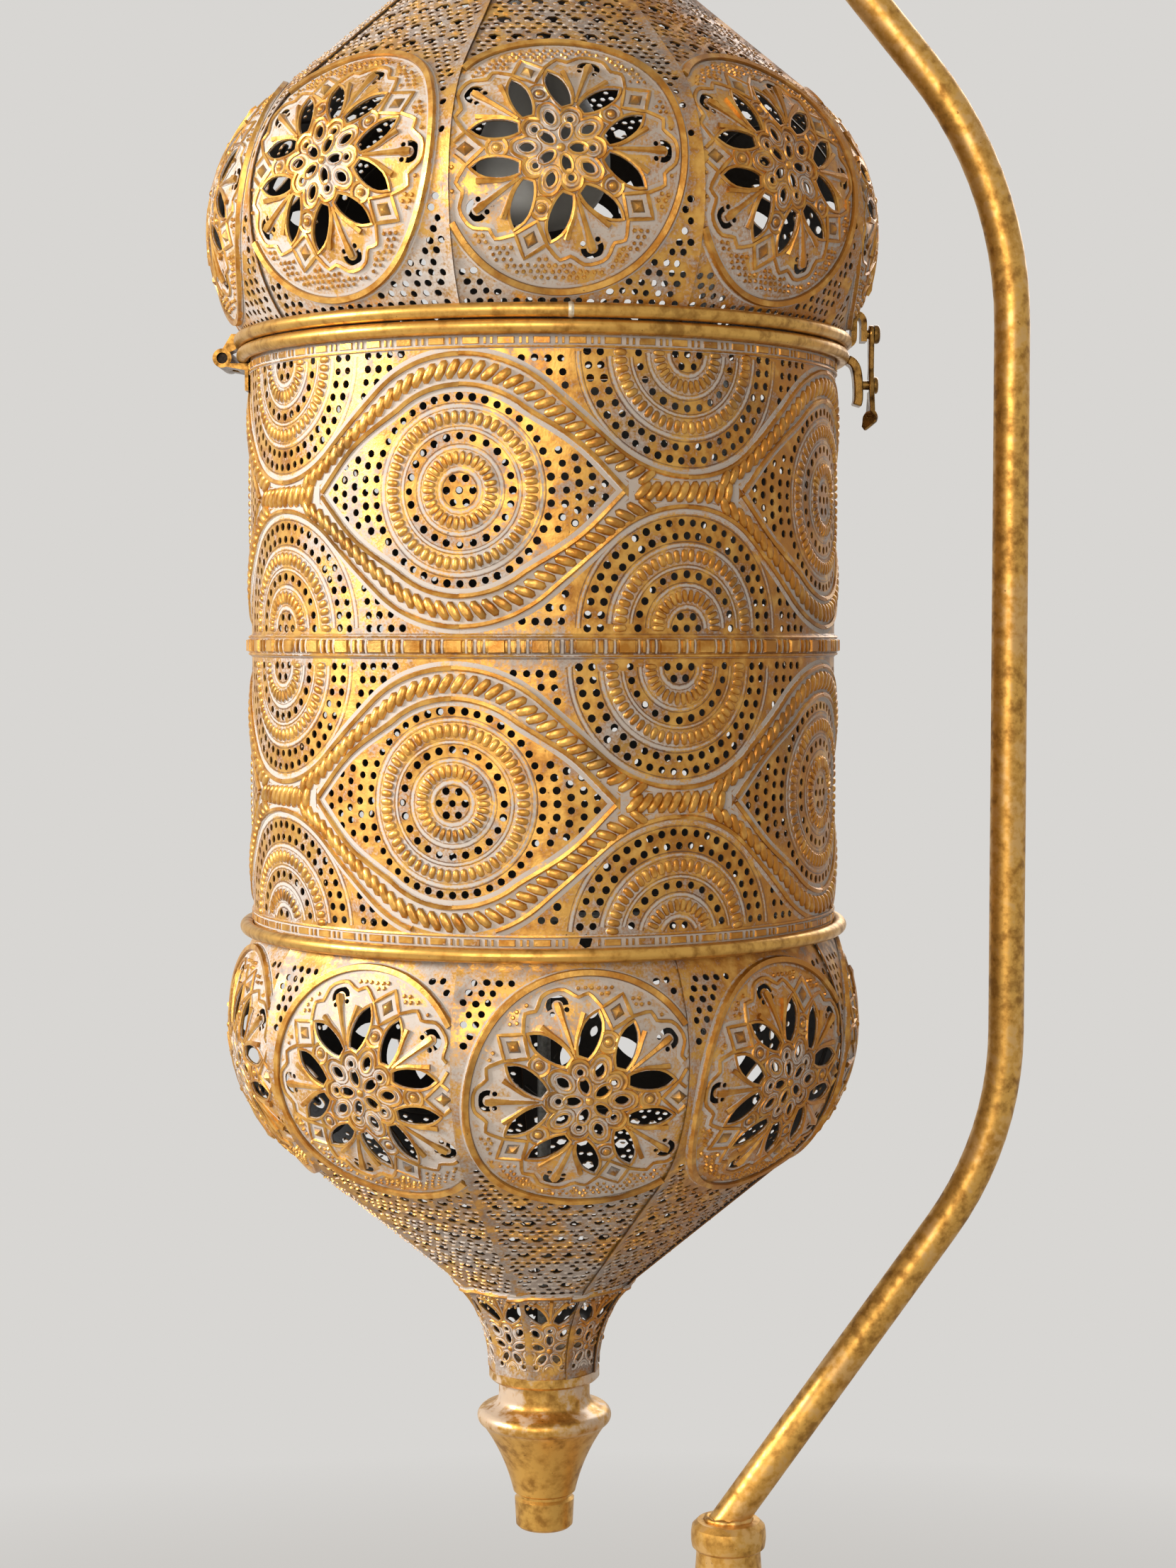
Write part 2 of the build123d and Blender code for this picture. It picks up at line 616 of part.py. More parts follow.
HANGER_R = HANGER_WIRE / 2
EYE_R = EYE_INNER_R + HANGER_R  # to the wire's centre
EYE_Z = CAP_TOP_Z + EYE_R + HANGER_R / 2
STEM_BOTTOM_Z = DOME_NECK_Z - SPIGOT_HEIGHT - NUT_HEIGHT - HOLDER_CAP_HEIGHT / 2
with BuildPart() as cap_eye:
    with BuildSketch(lantern_level.offset(STEM_BOTTOM_Z)):
        Circle(STEM_D / 2)
    extrude(amount=CAP_TOP_Z - STEM_BOTTOM_Z)
    with BuildSketch(link_plane):
        with Locations((0, EYE_Z + EYE_R)):
            Circle(HANGER_R)
    revolve(axis=Axis((LANTERN_X, 0, SEAM_Z + EYE_Z), (0, 1, 0)))
keep(cap_eye, "cap_eye")

STEM_NUT_Z = DOME_NECK_Z - SPIGOT_HEIGHT - NUT_HEIGHT
stem_nut = hex_nut(lantern_level.offset(STEM_NUT_Z), STEM_D * 1.7, STEM_D)
keep(stem_nut, "stem_nut")

LINK_LOW_Z = EYE_Z + EYE_R - HANGER_WIRE - LINK_PLAY
LINK_HIGH_Z = LINK_LOW_Z + LINK_LENGTH
with BuildPart() as hanger_link:
    with BuildLine(link_plane) as link_path:
        FilletPolyline(
            (LINK_WIDTH / 2, LINK_LOW_Z),
            (LINK_WIDTH / 2, LINK_HIGH_Z),
            (-LINK_WIDTH / 2, LINK_HIGH_Z),
            (-LINK_WIDTH / 2, LINK_LOW_Z),
            radius=LINK_CORNER,
            close=True,
        )
    with BuildSketch(Plane(origin=link_path.line @ 0, z_dir=link_path.line % 0)):
        Circle(HANGER_R)
    sweep()
keep(hanger_link, "hanger_link")

HOOK_BAR_Z = LINK_HIGH_Z - HANGER_WIRE - LINK_PLAY
HOOK_TOP_Z = HOOK_BAR_Z + HOOK_DROP
half_hook = HOOK_WIDTH / 2
with BuildPart() as hanger_hook:
    with BuildLine(lantern_section) as hook_path:
        FilletPolyline(
            (0, HOOK_TOP_Z + FERRULE_HEIGHT / 2),
            (0, HOOK_TOP_Z - HOOK_NECK),
            (half_hook, HOOK_TOP_Z - 2 * HOOK_NECK),
            (half_hook, HOOK_BAR_Z),
            (-half_hook, HOOK_BAR_Z),
            (-half_hook, HOOK_BAR_Z + HOOK_DROP / 2),
            radius=[HOOK_BEND, HOOK_BEND, HOOK_CORNER, HOOK_CORNER],
        )
    with BuildSketch(Plane(origin=hook_path.line @ 0, z_dir=hook_path.line % 0)):
        Circle(HANGER_R)
    sweep()
keep(hanger_hook, "hanger_hook")

with BuildPart() as hook_ferrule:
    with BuildSketch(lantern_section):
        with BuildLine():
            tube_end_z = HOOK_TOP_Z + FERRULE_HEIGHT / 2
            Polyline(
                (0, HOOK_TOP_Z),
                (FERRULE_R - TURNED_STEP, HOOK_TOP_Z),
                (FERRULE_R, HOOK_TOP_Z + TURNED_STEP),
                (FERRULE_R, HOOK_TOP_Z + FERRULE_HEIGHT),
                (TUBE_R + SEAT, HOOK_TOP_Z + FERRULE_HEIGHT),
                (TUBE_R + SEAT, tube_end_z),
                (0, tube_end_z),
                (0, HOOK_TOP_Z),
            )
        make_face()
    revolve(axis=lantern_axis)
    with BuildSketch(lantern_level.offset(HOOK_TOP_Z)):
        Circle(HANGER_R + RUNNING)
    extrude(amount=FERRULE_HEIGHT, mode=Mode.SUBTRACT)
keep(hook_ferrule, "hook_ferrule")

# Lamp holder and bulb, hung from the stem inside the dome

HOLDER_TOP_Z = STEM_BOTTOM_Z + HOLDER_CAP_HEIGHT / 2
with BuildPart() as holder_cap:
    with BuildSketch(lantern_section):
        with BuildLine():
            Polyline(
                (STEM_D / 2 + RUNNING, HOLDER_TOP_Z),
                (STEM_D, HOLDER_TOP_Z),
                (HOLDER_R, HOLDER_TOP_Z - HOLDER_CAP_HEIGHT / 2),
                (HOLDER_R, HOLDER_TOP_Z - HOLDER_CAP_HEIGHT),
                (STEM_D / 2 + RUNNING, HOLDER_TOP_Z - HOLDER_CAP_HEIGHT),
                (STEM_D / 2 + RUNNING, HOLDER_TOP_Z),
            )
        make_face()
    revolve(axis=lantern_axis)
keep(holder_cap, "holder_cap")

HOLDER_BASE_Z = HOLDER_TOP_Z - HOLDER_CAP_HEIGHT
with BuildPart() as lamp_holder:
    with BuildSketch(lantern_level.offset(HOLDER_BASE_Z - HOLDER_HEIGHT)):
        Circle(HOLDER_R)
    extrude(amount=HOLDER_HEIGHT)
    with BuildSketch(lantern_level.offset(HOLDER_BASE_Z - HOLDER_HEIGHT)):
        Circle(BULB_CAP_R + SEAT)
    extrude(amount=BULB_CAP_HEIGHT + SEAT, mode=Mode.SUBTRACT)
    chamfer(lamp_holder.edges().filter_by(GeomType.CIRCLE).sort_by(Axis.Z)[0], SHEET)
keep(lamp_holder, "lamp_holder")

BULB_TOP_Z = HOLDER_BASE_Z - HOLDER_HEIGHT
with BuildPart() as bulb_cap:
    with BuildSketch(lantern_level.offset(BULB_TOP_Z)):
        Circle(BULB_CAP_R)
    extrude(amount=BULB_CAP_HEIGHT)
    chamfer(bulb_cap.edges().sort_by(Axis.Z)[-1], BULB_CAP_R / 3)
keep(bulb_cap, "bulb_cap")

with BuildPart() as bulb_glass:
    with BuildSketch(lantern_section):
        with BuildLine():
            globe_z = BULB_TOP_Z - BULB_LENGTH + BULB_R
            Line((0, BULB_TOP_Z), (BULB_NECK_R, BULB_TOP_Z))
            Line((BULB_NECK_R, BULB_TOP_Z), (BULB_NECK_R, BULB_TOP_Z - BULB_NECK))
            Spline(
                (BULB_NECK_R, BULB_TOP_Z - BULB_NECK),
                (BULB_R, globe_z),
                tangents=[(0, -1), (0, -1)],
            )
            RadiusArc((BULB_R, globe_z), (0, globe_z - BULB_R), BULB_R)
            Line((0, globe_z - BULB_R), (0, BULB_TOP_Z))
        make_face()
    revolve(axis=lantern_axis)
keep(bulb_glass, "bulb_glass")

# Hinge at the lantern's -X side

HINGE_X = LANTERN_X - HINGE_R
hinge_plane = Plane(origin=(HINGE_X, 0, SEAM_Z - HINGE_DROP), x_dir=(1, 0, 0), z_dir=(0, -1, 0))
KNUCKLE_STEP = KNUCKLE_LENGTH + KNUCKLE_GAP
HINGE_HALF = KNUCKLE_STEP + KNUCKLE_LENGTH / 2
wire_gap = HINGE_R - DOME_WIRE_R  # from the pin to the dome wire's centre
with BuildPart() as hinge_upper:
    with BuildSketch(hinge_plane):
        Circle(BARREL_R)
        with BuildLine():
            wire_y = HINGE_DROP + WIRE_LEVEL
            over_wire = wire_y + WIRE_R + LEAF_THICK
            wire_side = wire_gap - WIRE_R
            Polyline(
                (-BARREL_R * 0.5, BARREL_R * 0.86),
                (wire_side - LEAF_THICK, over_wire),
                (wire_gap - SEAT, over_wire),
                (wire_gap - SEAT, wire_y),
                (wire_side, wire_y - WIRE_R * 0.85),
                (BARREL_R * 0.43, BARREL_R * 0.84),
                (0, BARREL_R - LEAF_THICK),
                (-BARREL_R * 0.5, BARREL_R * 0.86),
            )
        make_face()
        Circle(HINGE_PIN_D / 2 + RUNNING, mode=Mode.SUBTRACT)
    extrude(amount=KNUCKLE_LENGTH / 2, both=True)
    with BuildSketch(lantern_section):
        with Locations((DOME_WIRE_R, WIRE_LEVEL)):
            Circle(WIRE_R + RUNNING)
    revolve(axis=lantern_axis, mode=Mode.SUBTRACT)
keep(hinge_upper, "hinge_upper")

wall_gap = HINGE_R - DRUM_R - SEAT / 2  # from the pin to the leaf's inner face
leaf_top = HINGE_DROP - WIRE_LEVEL - WIRE_R - SEAT  # just under the drum's wire
with BuildPart() as hinge_lower:
    with BuildSketch(hinge_plane):
        Circle(BARREL_R)
        with BuildLine():
            Polyline(
                (-BARREL_R * 0.7, -BARREL_R * 0.7),
                (BARREL_R * 0.4, leaf_top),
                (wall_gap, leaf_top),
                (wall_gap, leaf_top - LEAF_HEIGHT),
                (wall_gap - LEAF_THICK, leaf_top - LEAF_HEIGHT),
                (wall_gap - LEAF_THICK, leaf_top - LEAF_THICK * 2),
                (-BARREL_R * 0.7, -BARREL_R * 0.7),
            )
        make_face()
        Circle(HINGE_PIN_D / 2 + RUNNING, mode=Mode.SUBTRACT)
    extrude(amount=HINGE_HALF, both=True)
    with BuildSketch(hinge_plane):
        Rectangle(4 * BARREL_R, 2 * BARREL_R + 2 * KNUCKLE_GAP)
    extrude(amount=KNUCKLE_LENGTH / 2 + KNUCKLE_GAP, both=True, mode=Mode.SUBTRACT)
keep(hinge_lower, "hinge_lower")

with BuildPart() as hinge_pin:
    with BuildSketch(hinge_plane):
        Circle(HINGE_PIN_D / 2)
    extrude(amount=HINGE_HALF - PIN_RECESS, both=True)
keep(hinge_pin, "hinge_pin")

# Latch at the lantern's +X side

LATCH_X = LANTERN_X + LATCH_PLATE_R
BRACKET_FACE = LATCH_PLATE_R - SEAT
BRACKET_BACK = BRACKET_FACE - BRACKET_THICK
bracket_top = LATCH_PIVOT_Z + BRACKET_WIDTH / 2
with BuildPart() as latch_bracket:
    with BuildSketch(lantern_section):
        with BuildLine():
            Polyline(
                (DOME_WIRE_R + WIRE_R / 2, WIRE_LEVEL - WIRE_R / 2),
                (BRACKET_FACE, WIRE_LEVEL - WIRE_R / 2),
                (BRACKET_FACE, bracket_top),
                (BRACKET_BACK, bracket_top),
                (BRACKET_BACK, WIRE_LEVEL + WIRE_R),
                (DOME_WIRE_R + WIRE_R / 2, WIRE_LEVEL + WIRE_R),
                (DOME_WIRE_R + WIRE_R / 2, WIRE_LEVEL - WIRE_R / 2),
            )
        make_face()
    extrude(amount=BRACKET_WIDTH / 2, both=True)
    fillet(
        latch_bracket.edges().filter_by(Axis.X).group_by(Axis.Z)[-1], BRACKET_WIDTH * 0.45
    )
    with BuildSketch(lantern_section):
        with Locations((DOME_WIRE_R, WIRE_LEVEL)):
            Circle(WIRE_R + RUNNING)
    revolve(axis=lantern_axis, mode=Mode.SUBTRACT)
    with BuildSketch(latch_plane.offset(-SEAT)):
        with Locations((0, LATCH_PIVOT_Z)):
            Circle(LATCH_SCREW_D / 2 + RUNNING)
    extrude(amount=-BRACKET_THICK, mode=Mode.SUBTRACT)
keep(latch_bracket, "latch_bracket")

HEAD_FACE = LATCH_PLATE_THICK + SEAT  # from the hook's inner face to the heads
with BuildPart() as latch_screw:
    with BuildSketch(latch_plane.offset(-SEAT - BRACKET_THICK)):
        with Locations((0, LATCH_PIVOT_Z)):
            Circle(LATCH_SCREW_D / 2)
    extrude(amount=BRACKET_THICK + SEAT + HEAD_FACE)
    with BuildSketch(latch_plane.offset(HEAD_FACE)):
        with Locations((0, LATCH_PIVOT_Z)):
            Circle(LATCH_HEAD_R)
    extrude(amount=LATCH_HEAD_THICK)
    fillet(latch_screw.edges().group_by(Axis.X)[-1], LATCH_HEAD_THICK * 0.6)
keep(latch_screw, "latch_screw")

with BuildPart() as latch_hook:
    with BuildSketch(latch_plane):
        with Locations((0, LATCH_PIVOT_Z)):
            Circle(LATCH_WIDTH / 2)
        with BuildLine():
            half = LATCH_WIDTH / 2
            Polyline(
                (-half, LATCH_PIVOT_Z),
                (half, LATCH_PIVOT_Z),
                (half * 0.7, -LATCH_STUD_DROP / 2),
                (half * 1.3, -LATCH_STUD_DROP + NOTCH_WIDTH / 2),
                (half * 1.3, -LATCH_STUD_DROP - NOTCH_WIDTH),
                (half * 0.6, -LATCH_TAIL_DROP + half / 2),
                (0, -LATCH_TAIL_DROP),
                (-half * 0.9, -LATCH_TAIL_DROP + half),
                (-half * 1.2, -LATCH_STUD_DROP),
                (-half * 0.7, -LATCH_STUD_DROP / 2),
                (-half, LATCH_PIVOT_Z),
            )
        make_face()
        with Locations((0, LATCH_PIVOT_Z)):
            Circle(LATCH_SCREW_D / 2 + RUNNING, mode=Mode.SUBTRACT)
        with Locations((0, -LATCH_STUD_DROP)):
            Circle(NOTCH_WIDTH / 2, mode=Mode.SUBTRACT)
            with Locations((LATCH_WIDTH / 2, 0)):
                Rectangle(LATCH_WIDTH, NOTCH_WIDTH, mode=Mode.SUBTRACT)
    extrude(amount=LATCH_PLATE_THICK)
keep(latch_hook, "latch_hook")

KEEPER_FACE = LATCH_PLATE_R - NOTCH_WIDTH / 2
keeper_bottom = -LATCH_STUD_DROP - BRACKET_WIDTH
with BuildPart() as latch_keeper:
    with BuildSketch(lantern_section):
        with BuildLine():
            Polyline(
                (DRUM_WIRE_R + WIRE_R / 2, -WIRE_LEVEL + WIRE_R / 2),
                (KEEPER_FACE - SHEET, -WIRE_LEVEL + WIRE_R / 2),
                (KEEPER_FACE, -WIRE_LEVEL - WIRE_R / 2),
                (KEEPER_FACE, keeper_bottom + KEEPER_BEVEL),
                (KEEPER_FACE - KEEPER_BEVEL, keeper_bottom),
                (KEEPER_FACE - BRACKET_THICK, keeper_bottom),
                (DRUM_WIRE_R + WIRE_R / 2, -WIRE_LEVEL - WIRE_R * 1.6),
                (DRUM_WIRE_R + WIRE_R / 2, -WIRE_LEVEL + WIRE_R / 2),
            )
        make_face()
    extrude(amount=BRACKET_WIDTH / 2, both=True)
    with BuildSketch(lantern_section):
        with Locations((DRUM_WIRE_R, -WIRE_LEVEL)):
            Circle(WIRE_R + RUNNING)
    revolve(axis=lantern_axis, mode=Mode.SUBTRACT)
    with BuildSketch(latch_plane):
        with Locations((0, -LATCH_STUD_DROP)):
            Circle(STUD_D / 2)
    extrude(amount=-(NOTCH_WIDTH / 2 + BRACKET_THICK / 2), mode=Mode.SUBTRACT)
keep(latch_keeper, "latch_keeper")

with BuildPart() as keeper_stud:
    with BuildSketch(latch_plane.offset(-NOTCH_WIDTH / 2 - BRACKET_THICK / 2)):
        with Locations((0, -LATCH_STUD_DROP)):
            Circle(STUD_D / 2)
    extrude(amount=NOTCH_WIDTH / 2 + BRACKET_THICK / 2 + HEAD_FACE)
    with BuildSketch(latch_plane.offset(HEAD_FACE)):
        with Locations((0, -LATCH_STUD_DROP)):
            Circle(LATCH_HEAD_R * 0.9)
    extrude(amount=LATCH_HEAD_THICK * 0.7)
    fillet(keeper_stud.edges().group_by(Axis.X)[-1], LATCH_HEAD_THICK * 0.4)
keep(keeper_stud, "keeper_stud")

# Bowed tube

low_slope = tan(radians(BOW_LOW_ANGLE))
high_slope = tan(radians(BOW_HIGH_ANGLE))
BOW_LOW_Z = COLLAR_TOP_Z + BOW_REACH / low_slope
BOW_TOP_Z = BOW_HIGH_Z + BOW_REACH / high_slope
CROOK_R = LANTERN_OFFSET / 2
TUBE_END_Z = SEAM_Z + HOOK_TOP_Z + FERRULE_HEIGHT / 2
CROOK_SPRING_Z = max(
    TUBE_END_Z + TUBE_R, BOW_TOP_Z + BOW_TOP_R * tan(radians(BOW_HIGH_ANGLE / 2)) + TUBE_R
)
CROOK_TOP_Z = CROOK_SPRING_Z + CROOK_R
FOOT_RUN = TUBE_D  # of the tube below the collar's face, cut off there
with BuildPart() as bow_tube:
    with BuildLine(Plane.XZ) as bow_path:
        FilletPolyline(
            (-FOOT_RUN * low_slope, COLLAR_TOP_Z - FOOT_RUN),
            (BOW_REACH, BOW_LOW_Z),
            (BOW_REACH, BOW_HIGH_Z),
            (0, BOW_TOP_Z),
            (0, CROOK_TOP_Z),
            (LANTERN_X, CROOK_TOP_Z),
            (LANTERN_X, TUBE_END_Z),
            radius=[BOW_LOW_R, BOW_HIGH_R, BOW_TOP_R, CROOK_R * 0.999, CROOK_R * 0.999],
        )
    with BuildSketch(Plane(origin=bow_path.line @ 0, z_dir=bow_path.line % 0)):
        Circle(TUBE_R)
        Circle(TUBE_R - TUBE_WALL, mode=Mode.SUBTRACT)
    sweep()
    split(bisect_by=Plane.XY.offset(COLLAR_TOP_Z), keep=Keep.TOP)
keep(bow_tube, "bow_tube")

# Post, turned head and collar

HEAD_TOP_Z = COLLAR_TOP_Z - COLLAR_HEIGHT
HEAD_BOTTOM_Z = HEAD_TOP_Z - HEAD_HEIGHT
with BuildPart() as post_collar:
    with BuildSketch(Plane.XZ):
        with BuildLine():
            collar_low = (COLLAR_R, HEAD_TOP_Z + TURNED_EDGE)
            collar_high = (COLLAR_R, COLLAR_TOP_Z - TURNED_STEP)
            Polyline((0, HEAD_TOP_Z), (COLLAR_R - TURNED_EDGE, HEAD_TOP_Z), collar_low)
            ThreePointArc(
                collar_low,
                (COLLAR_R + COLLAR_CROWN, HEAD_TOP_Z + COLLAR_HEIGHT / 2),
                collar_high,
            )
            Polyline(
                collar_high,
                (COLLAR_R - TURNED_STEP, COLLAR_TOP_Z),
                (0, COLLAR_TOP_Z),
                (0, HEAD_TOP_Z),
            )
        make_face()
    revolve(axis=Axis.Z)
keep(post_collar, "post_collar")

with BuildPart() as post_head:
    with BuildSketch(Plane.XZ):
        with BuildLine():
            belly_z = HEAD_TOP_Z - HEAD_BELLY_DROP
            bead_r = POST_R + HEAD_BEAD_WALL
            bead_top = (bead_r - TURNED_STEP, HEAD_BOTTOM_Z + HEAD_BEAD)
            Line((0, HEAD_TOP_Z), (HEAD_NECK_R, HEAD_TOP_Z))
            Spline(
                (HEAD_NECK_R, HEAD_TOP_Z),
                (HEAD_BELLY_R, belly_z),
                bead_top,
                tangents=[(0.02, -1), (-0.1, -1)],
            )
            Polyline(
                bead_top,
                (bead_r, HEAD_BOTTOM_Z + HEAD_BEAD - TURNED_STEP),
                (bead_r, HEAD_BOTTOM_Z + TURNED_STEP),
                (bead_r - TURNED_STEP, HEAD_BOTTOM_Z),
                (POST_R + SEAT, HEAD_BOTTOM_Z),
                (POST_R + SEAT, HEAD_BOTTOM_Z + HEAD_SOCKET),
                (POST_ROD_D / 2 + SEAT, HEAD_BOTTOM_Z + HEAD_SOCKET),
                (POST_ROD_D / 2 + SEAT, HEAD_TOP_Z - HEAD_SOCKET),
                (0, HEAD_TOP_Z - HEAD_SOCKET),
                (0, HEAD_TOP_Z),
            )
        make_face()
    revolve(axis=Axis.Z)
keep(post_head, "post_head")

BASE_TOP_Z = FELT_THICK + BASE_RIM_HEIGHT + BASE_DOME_HEIGHT
KNOP_TOP_Z = BASE_TOP_Z + KNOP_HEIGHT
with BuildPart() as post_tube:
    with BuildSketch(Plane.XY.offset(BASE_TOP_Z)):
        Circle(POST_R)
        Circle(POST_R - POST_WALL, mode=Mode.SUBTRACT)
    extrude(amount=HEAD_BOTTOM_Z + HEAD_SOCKET - BASE_TOP_Z)
keep(post_tube, "post_tube")

with BuildPart() as post_knop:
    with BuildSketch(Plane.XZ):
        with BuildLine():
            inner = POST_R + SEAT
            foot_r = KNOP_R + KNOP_FOOT_WALL
            bead_r = POST_R + KNOP_BEAD_WALL
            knop_low = (KNOP_R - TURNED_EDGE, BASE_TOP_Z + KNOP_FOOT)
            knop_high = (bead_r - TURNED_EDGE, KNOP_TOP_Z - KNOP_FOOT)
            Polyline(
                (inner, BASE_TOP_Z),
                (foot_r - TURNED_EDGE, BASE_TOP_Z),
                (foot_r, BASE_TOP_Z + TURNED_EDGE),
                (foot_r, BASE_TOP_Z + KNOP_FOOT - TURNED_STEP),
                knop_low,
            )
            ThreePointArc(knop_low, (KNOP_R, BASE_TOP_Z + KNOP_HEIGHT * 0.45), knop_high)
            Polyline(
                knop_high,
                (bead_r, KNOP_TOP_Z - KNOP_FOOT + TURNED_STEP),
                (bead_r, KNOP_TOP_Z - TURNED_STEP),
                (bead_r - TURNED_STEP, KNOP_TOP_Z),
                (inner, KNOP_TOP_Z),
                (inner, BASE_TOP_Z),
            )
        make_face()
    revolve(axis=Axis.Z)
keep(post_knop, "post_knop")

# Foot: spun cover over an iron weight, with a felt pad beneath


def base_curve(inset):
    """The cover's line from the rim to the crown, moved in by inset."""
    rim_top = FELT_THICK + BASE_RIM_HEIGHT
    step_r = BASE_R - BASE_SHELF
    return [
        (BASE_R - inset, FELT_THICK),
        (BASE_R - inset, rim_top - BASE_EDGE - inset / 2),
        (BASE_R - BASE_EDGE - inset / 2, rim_top - inset),
        (step_r - inset / 2, rim_top + BASE_EDGE / 2 - inset),
        (step_r - BASE_EDGE - inset, rim_top + BASE_STEP - inset),
        (BASE_CROWN_R + BASE_SWEEP - inset, BASE_TOP_Z - BASE_SWEEP_DROP - inset),
        (BASE_CROWN_R - inset, BASE_TOP_Z - inset),
    ]


BUSH_Z = FELT_THICK + BASE_RIM_HEIGHT / 2 - BUSH_DROP
bush_plane = Plane.XZ.offset(-BASE_R - BUSH_FLANGE)


with BuildPart() as base_cover:
    with BuildSketch(Plane.XZ):
        with BuildLine():
            face = base_curve(0)
            back = base_curve(BASE_WALL)
            hole_r = POST_ROD_D / 2 + SEAT
            for line in (face, back):
                Polyline(*line[:5])
                Spline(
                    line[4], line[5], line[6], tangents=[(-1, 0.18), (-0.5, 0.9)]
                )
                Line(line[6], (hole_r, line[6][1]))
            Line(face[0], back[0])
            Line((hole_r, face[6][1]), (hole_r, back[6][1]))
        make_face()
    revolve(axis=Axis.Z)
    with BuildSketch(bush_plane):
        with Locations((0, BUSH_Z)):
            Circle(BUSH_R + SEAT)
    extrude(amount=2 * BUSH_R, mode=Mode.SUBTRACT)
keep(base_cover, "base_cover")

with BuildPart() as cable_bush:
    with BuildSketch(bush_plane):
        with Locations((0, BUSH_Z)):
            Circle(BUSH_R)
    extrude(amount=BUSH_LENGTH)
    with BuildSketch(bush_plane):
        with Locations((0, BUSH_Z)):
            Circle(BUSH_FLANGE_R)
    extrude(amount=BUSH_FLANGE)
    with BuildSketch(bush_plane):
        with Locations((0, BUSH_Z)):
            Circle(BUSH_BORE_R)
    extrude(amount=BUSH_LENGTH, mode=Mode.SUBTRACT)
keep(cable_bush, "cable_bush")

well_r = WASHER_R + WELL_WALL
weight_seat = FELT_THICK + WEIGHT_THICK * 0.75
with BuildPart() as base_weight:
    with BuildSketch(Plane.XY.offset(FELT_THICK)):
        Circle(BASE_R - WEIGHT_INSET)
        Circle(well_r, mode=Mode.SUBTRACT)
    extrude(amount=WEIGHT_THICK)
    with BuildSketch(Plane.XY.offset(weight_seat)):
        Circle(well_r)
        Circle(POST_ROD_D / 2 + SEAT, mode=Mode.SUBTRACT)
    extrude(amount=FELT_THICK + WEIGHT_THICK - weight_seat)
    fillet(base_weight.edges().group_by(Axis.Z)[-1].sort_by(SortBy.RADIUS)[-1], WEIGHT_EASE)
keep(base_weight, "base_weight")

with BuildPart() as felt_pad:
    with BuildSketch():
        Circle(BASE_R - SEAT)
    extrude(amount=FELT_THICK)
keep(felt_pad, "felt_pad")

with BuildPart() as base_washer:
    with BuildSketch(Plane.XY.offset(weight_seat - WASHER_THICK)):
        Circle(WASHER_R)
        Circle(POST_ROD_D / 2 + SEAT, mode=Mode.SUBTRACT)
    extrude(amount=WASHER_THICK)
keep(base_washer, "base_washer")

base_nut = hex_nut(
    Plane.XY.offset(weight_seat - WASHER_THICK - NUT_HEIGHT), NUT_ACROSS, POST_ROD_D
)
keep(base_nut, "base_nut")

with BuildPart() as post_rod:
    with BuildSketch(Plane.XY.offset(weight_seat - WASHER_THICK - NUT_HEIGHT)):
        Circle(POST_ROD_D / 2)
    extrude(amount=HEAD_TOP_Z - HEAD_SOCKET - SEAT - weight_seat + WASHER_THICK + NUT_HEIGHT)
keep(post_rod, "post_rod")

os.makedirs("parts", exist_ok=True)
for part in parts:
    export_step(part, f"parts/{part.label}.step")

print(f"{len(parts)} nodes, {PANEL_COUNT} panels in each ring")
print(f"dome neck {DOME_NECK_Z:.1f}, bowl neck {BOWL_NECK_Z:.1f}, from the seam")
print(f"crook top {CROOK_TOP_Z + TUBE_R:.1f}, tube end {TUBE_END_Z:.1f}")
print(f"link bars {SEAM_Z + LINK_LOW_Z:.1f} {SEAM_Z + LINK_HIGH_Z:.1f}, hook bar {SEAM_Z + HOOK_BAR_Z:.1f}")
print(f"hinge x {HINGE_X:.1f} z {SEAM_Z - HINGE_DROP:.1f}, latch x {LATCH_X:.1f}")
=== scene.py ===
import json
import math

import bmesh
import bpy
import numpy as np
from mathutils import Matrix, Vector

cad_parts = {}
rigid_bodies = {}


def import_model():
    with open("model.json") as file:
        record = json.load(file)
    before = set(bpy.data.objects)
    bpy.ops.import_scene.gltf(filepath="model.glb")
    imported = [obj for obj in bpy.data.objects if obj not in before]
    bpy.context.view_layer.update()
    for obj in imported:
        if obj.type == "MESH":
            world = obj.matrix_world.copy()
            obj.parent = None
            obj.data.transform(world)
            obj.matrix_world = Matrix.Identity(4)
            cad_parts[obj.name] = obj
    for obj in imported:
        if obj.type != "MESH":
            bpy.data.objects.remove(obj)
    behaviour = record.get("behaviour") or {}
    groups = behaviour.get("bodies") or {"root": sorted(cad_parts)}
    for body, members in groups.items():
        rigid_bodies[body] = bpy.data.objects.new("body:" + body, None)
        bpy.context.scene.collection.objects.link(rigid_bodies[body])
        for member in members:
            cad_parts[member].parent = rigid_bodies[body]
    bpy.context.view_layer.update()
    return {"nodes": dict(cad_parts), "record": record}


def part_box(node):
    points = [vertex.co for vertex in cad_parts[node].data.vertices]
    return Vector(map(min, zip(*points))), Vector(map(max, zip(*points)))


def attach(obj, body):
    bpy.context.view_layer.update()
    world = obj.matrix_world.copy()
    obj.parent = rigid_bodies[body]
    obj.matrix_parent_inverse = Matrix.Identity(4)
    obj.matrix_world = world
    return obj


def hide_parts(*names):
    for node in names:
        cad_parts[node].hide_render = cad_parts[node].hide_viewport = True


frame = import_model()
mm = 0.001
rng = np.random.default_rng(41)
scene = bpy.context.scene


# places taken from the frame

def nodeBox(prefix):
    boxes = [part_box(name) for name in frame["nodes"] if name.startswith(prefix)]
    return np.min([b[0] for b in boxes], axis=0), np.max([b[1] for b in boxes], axis=0)


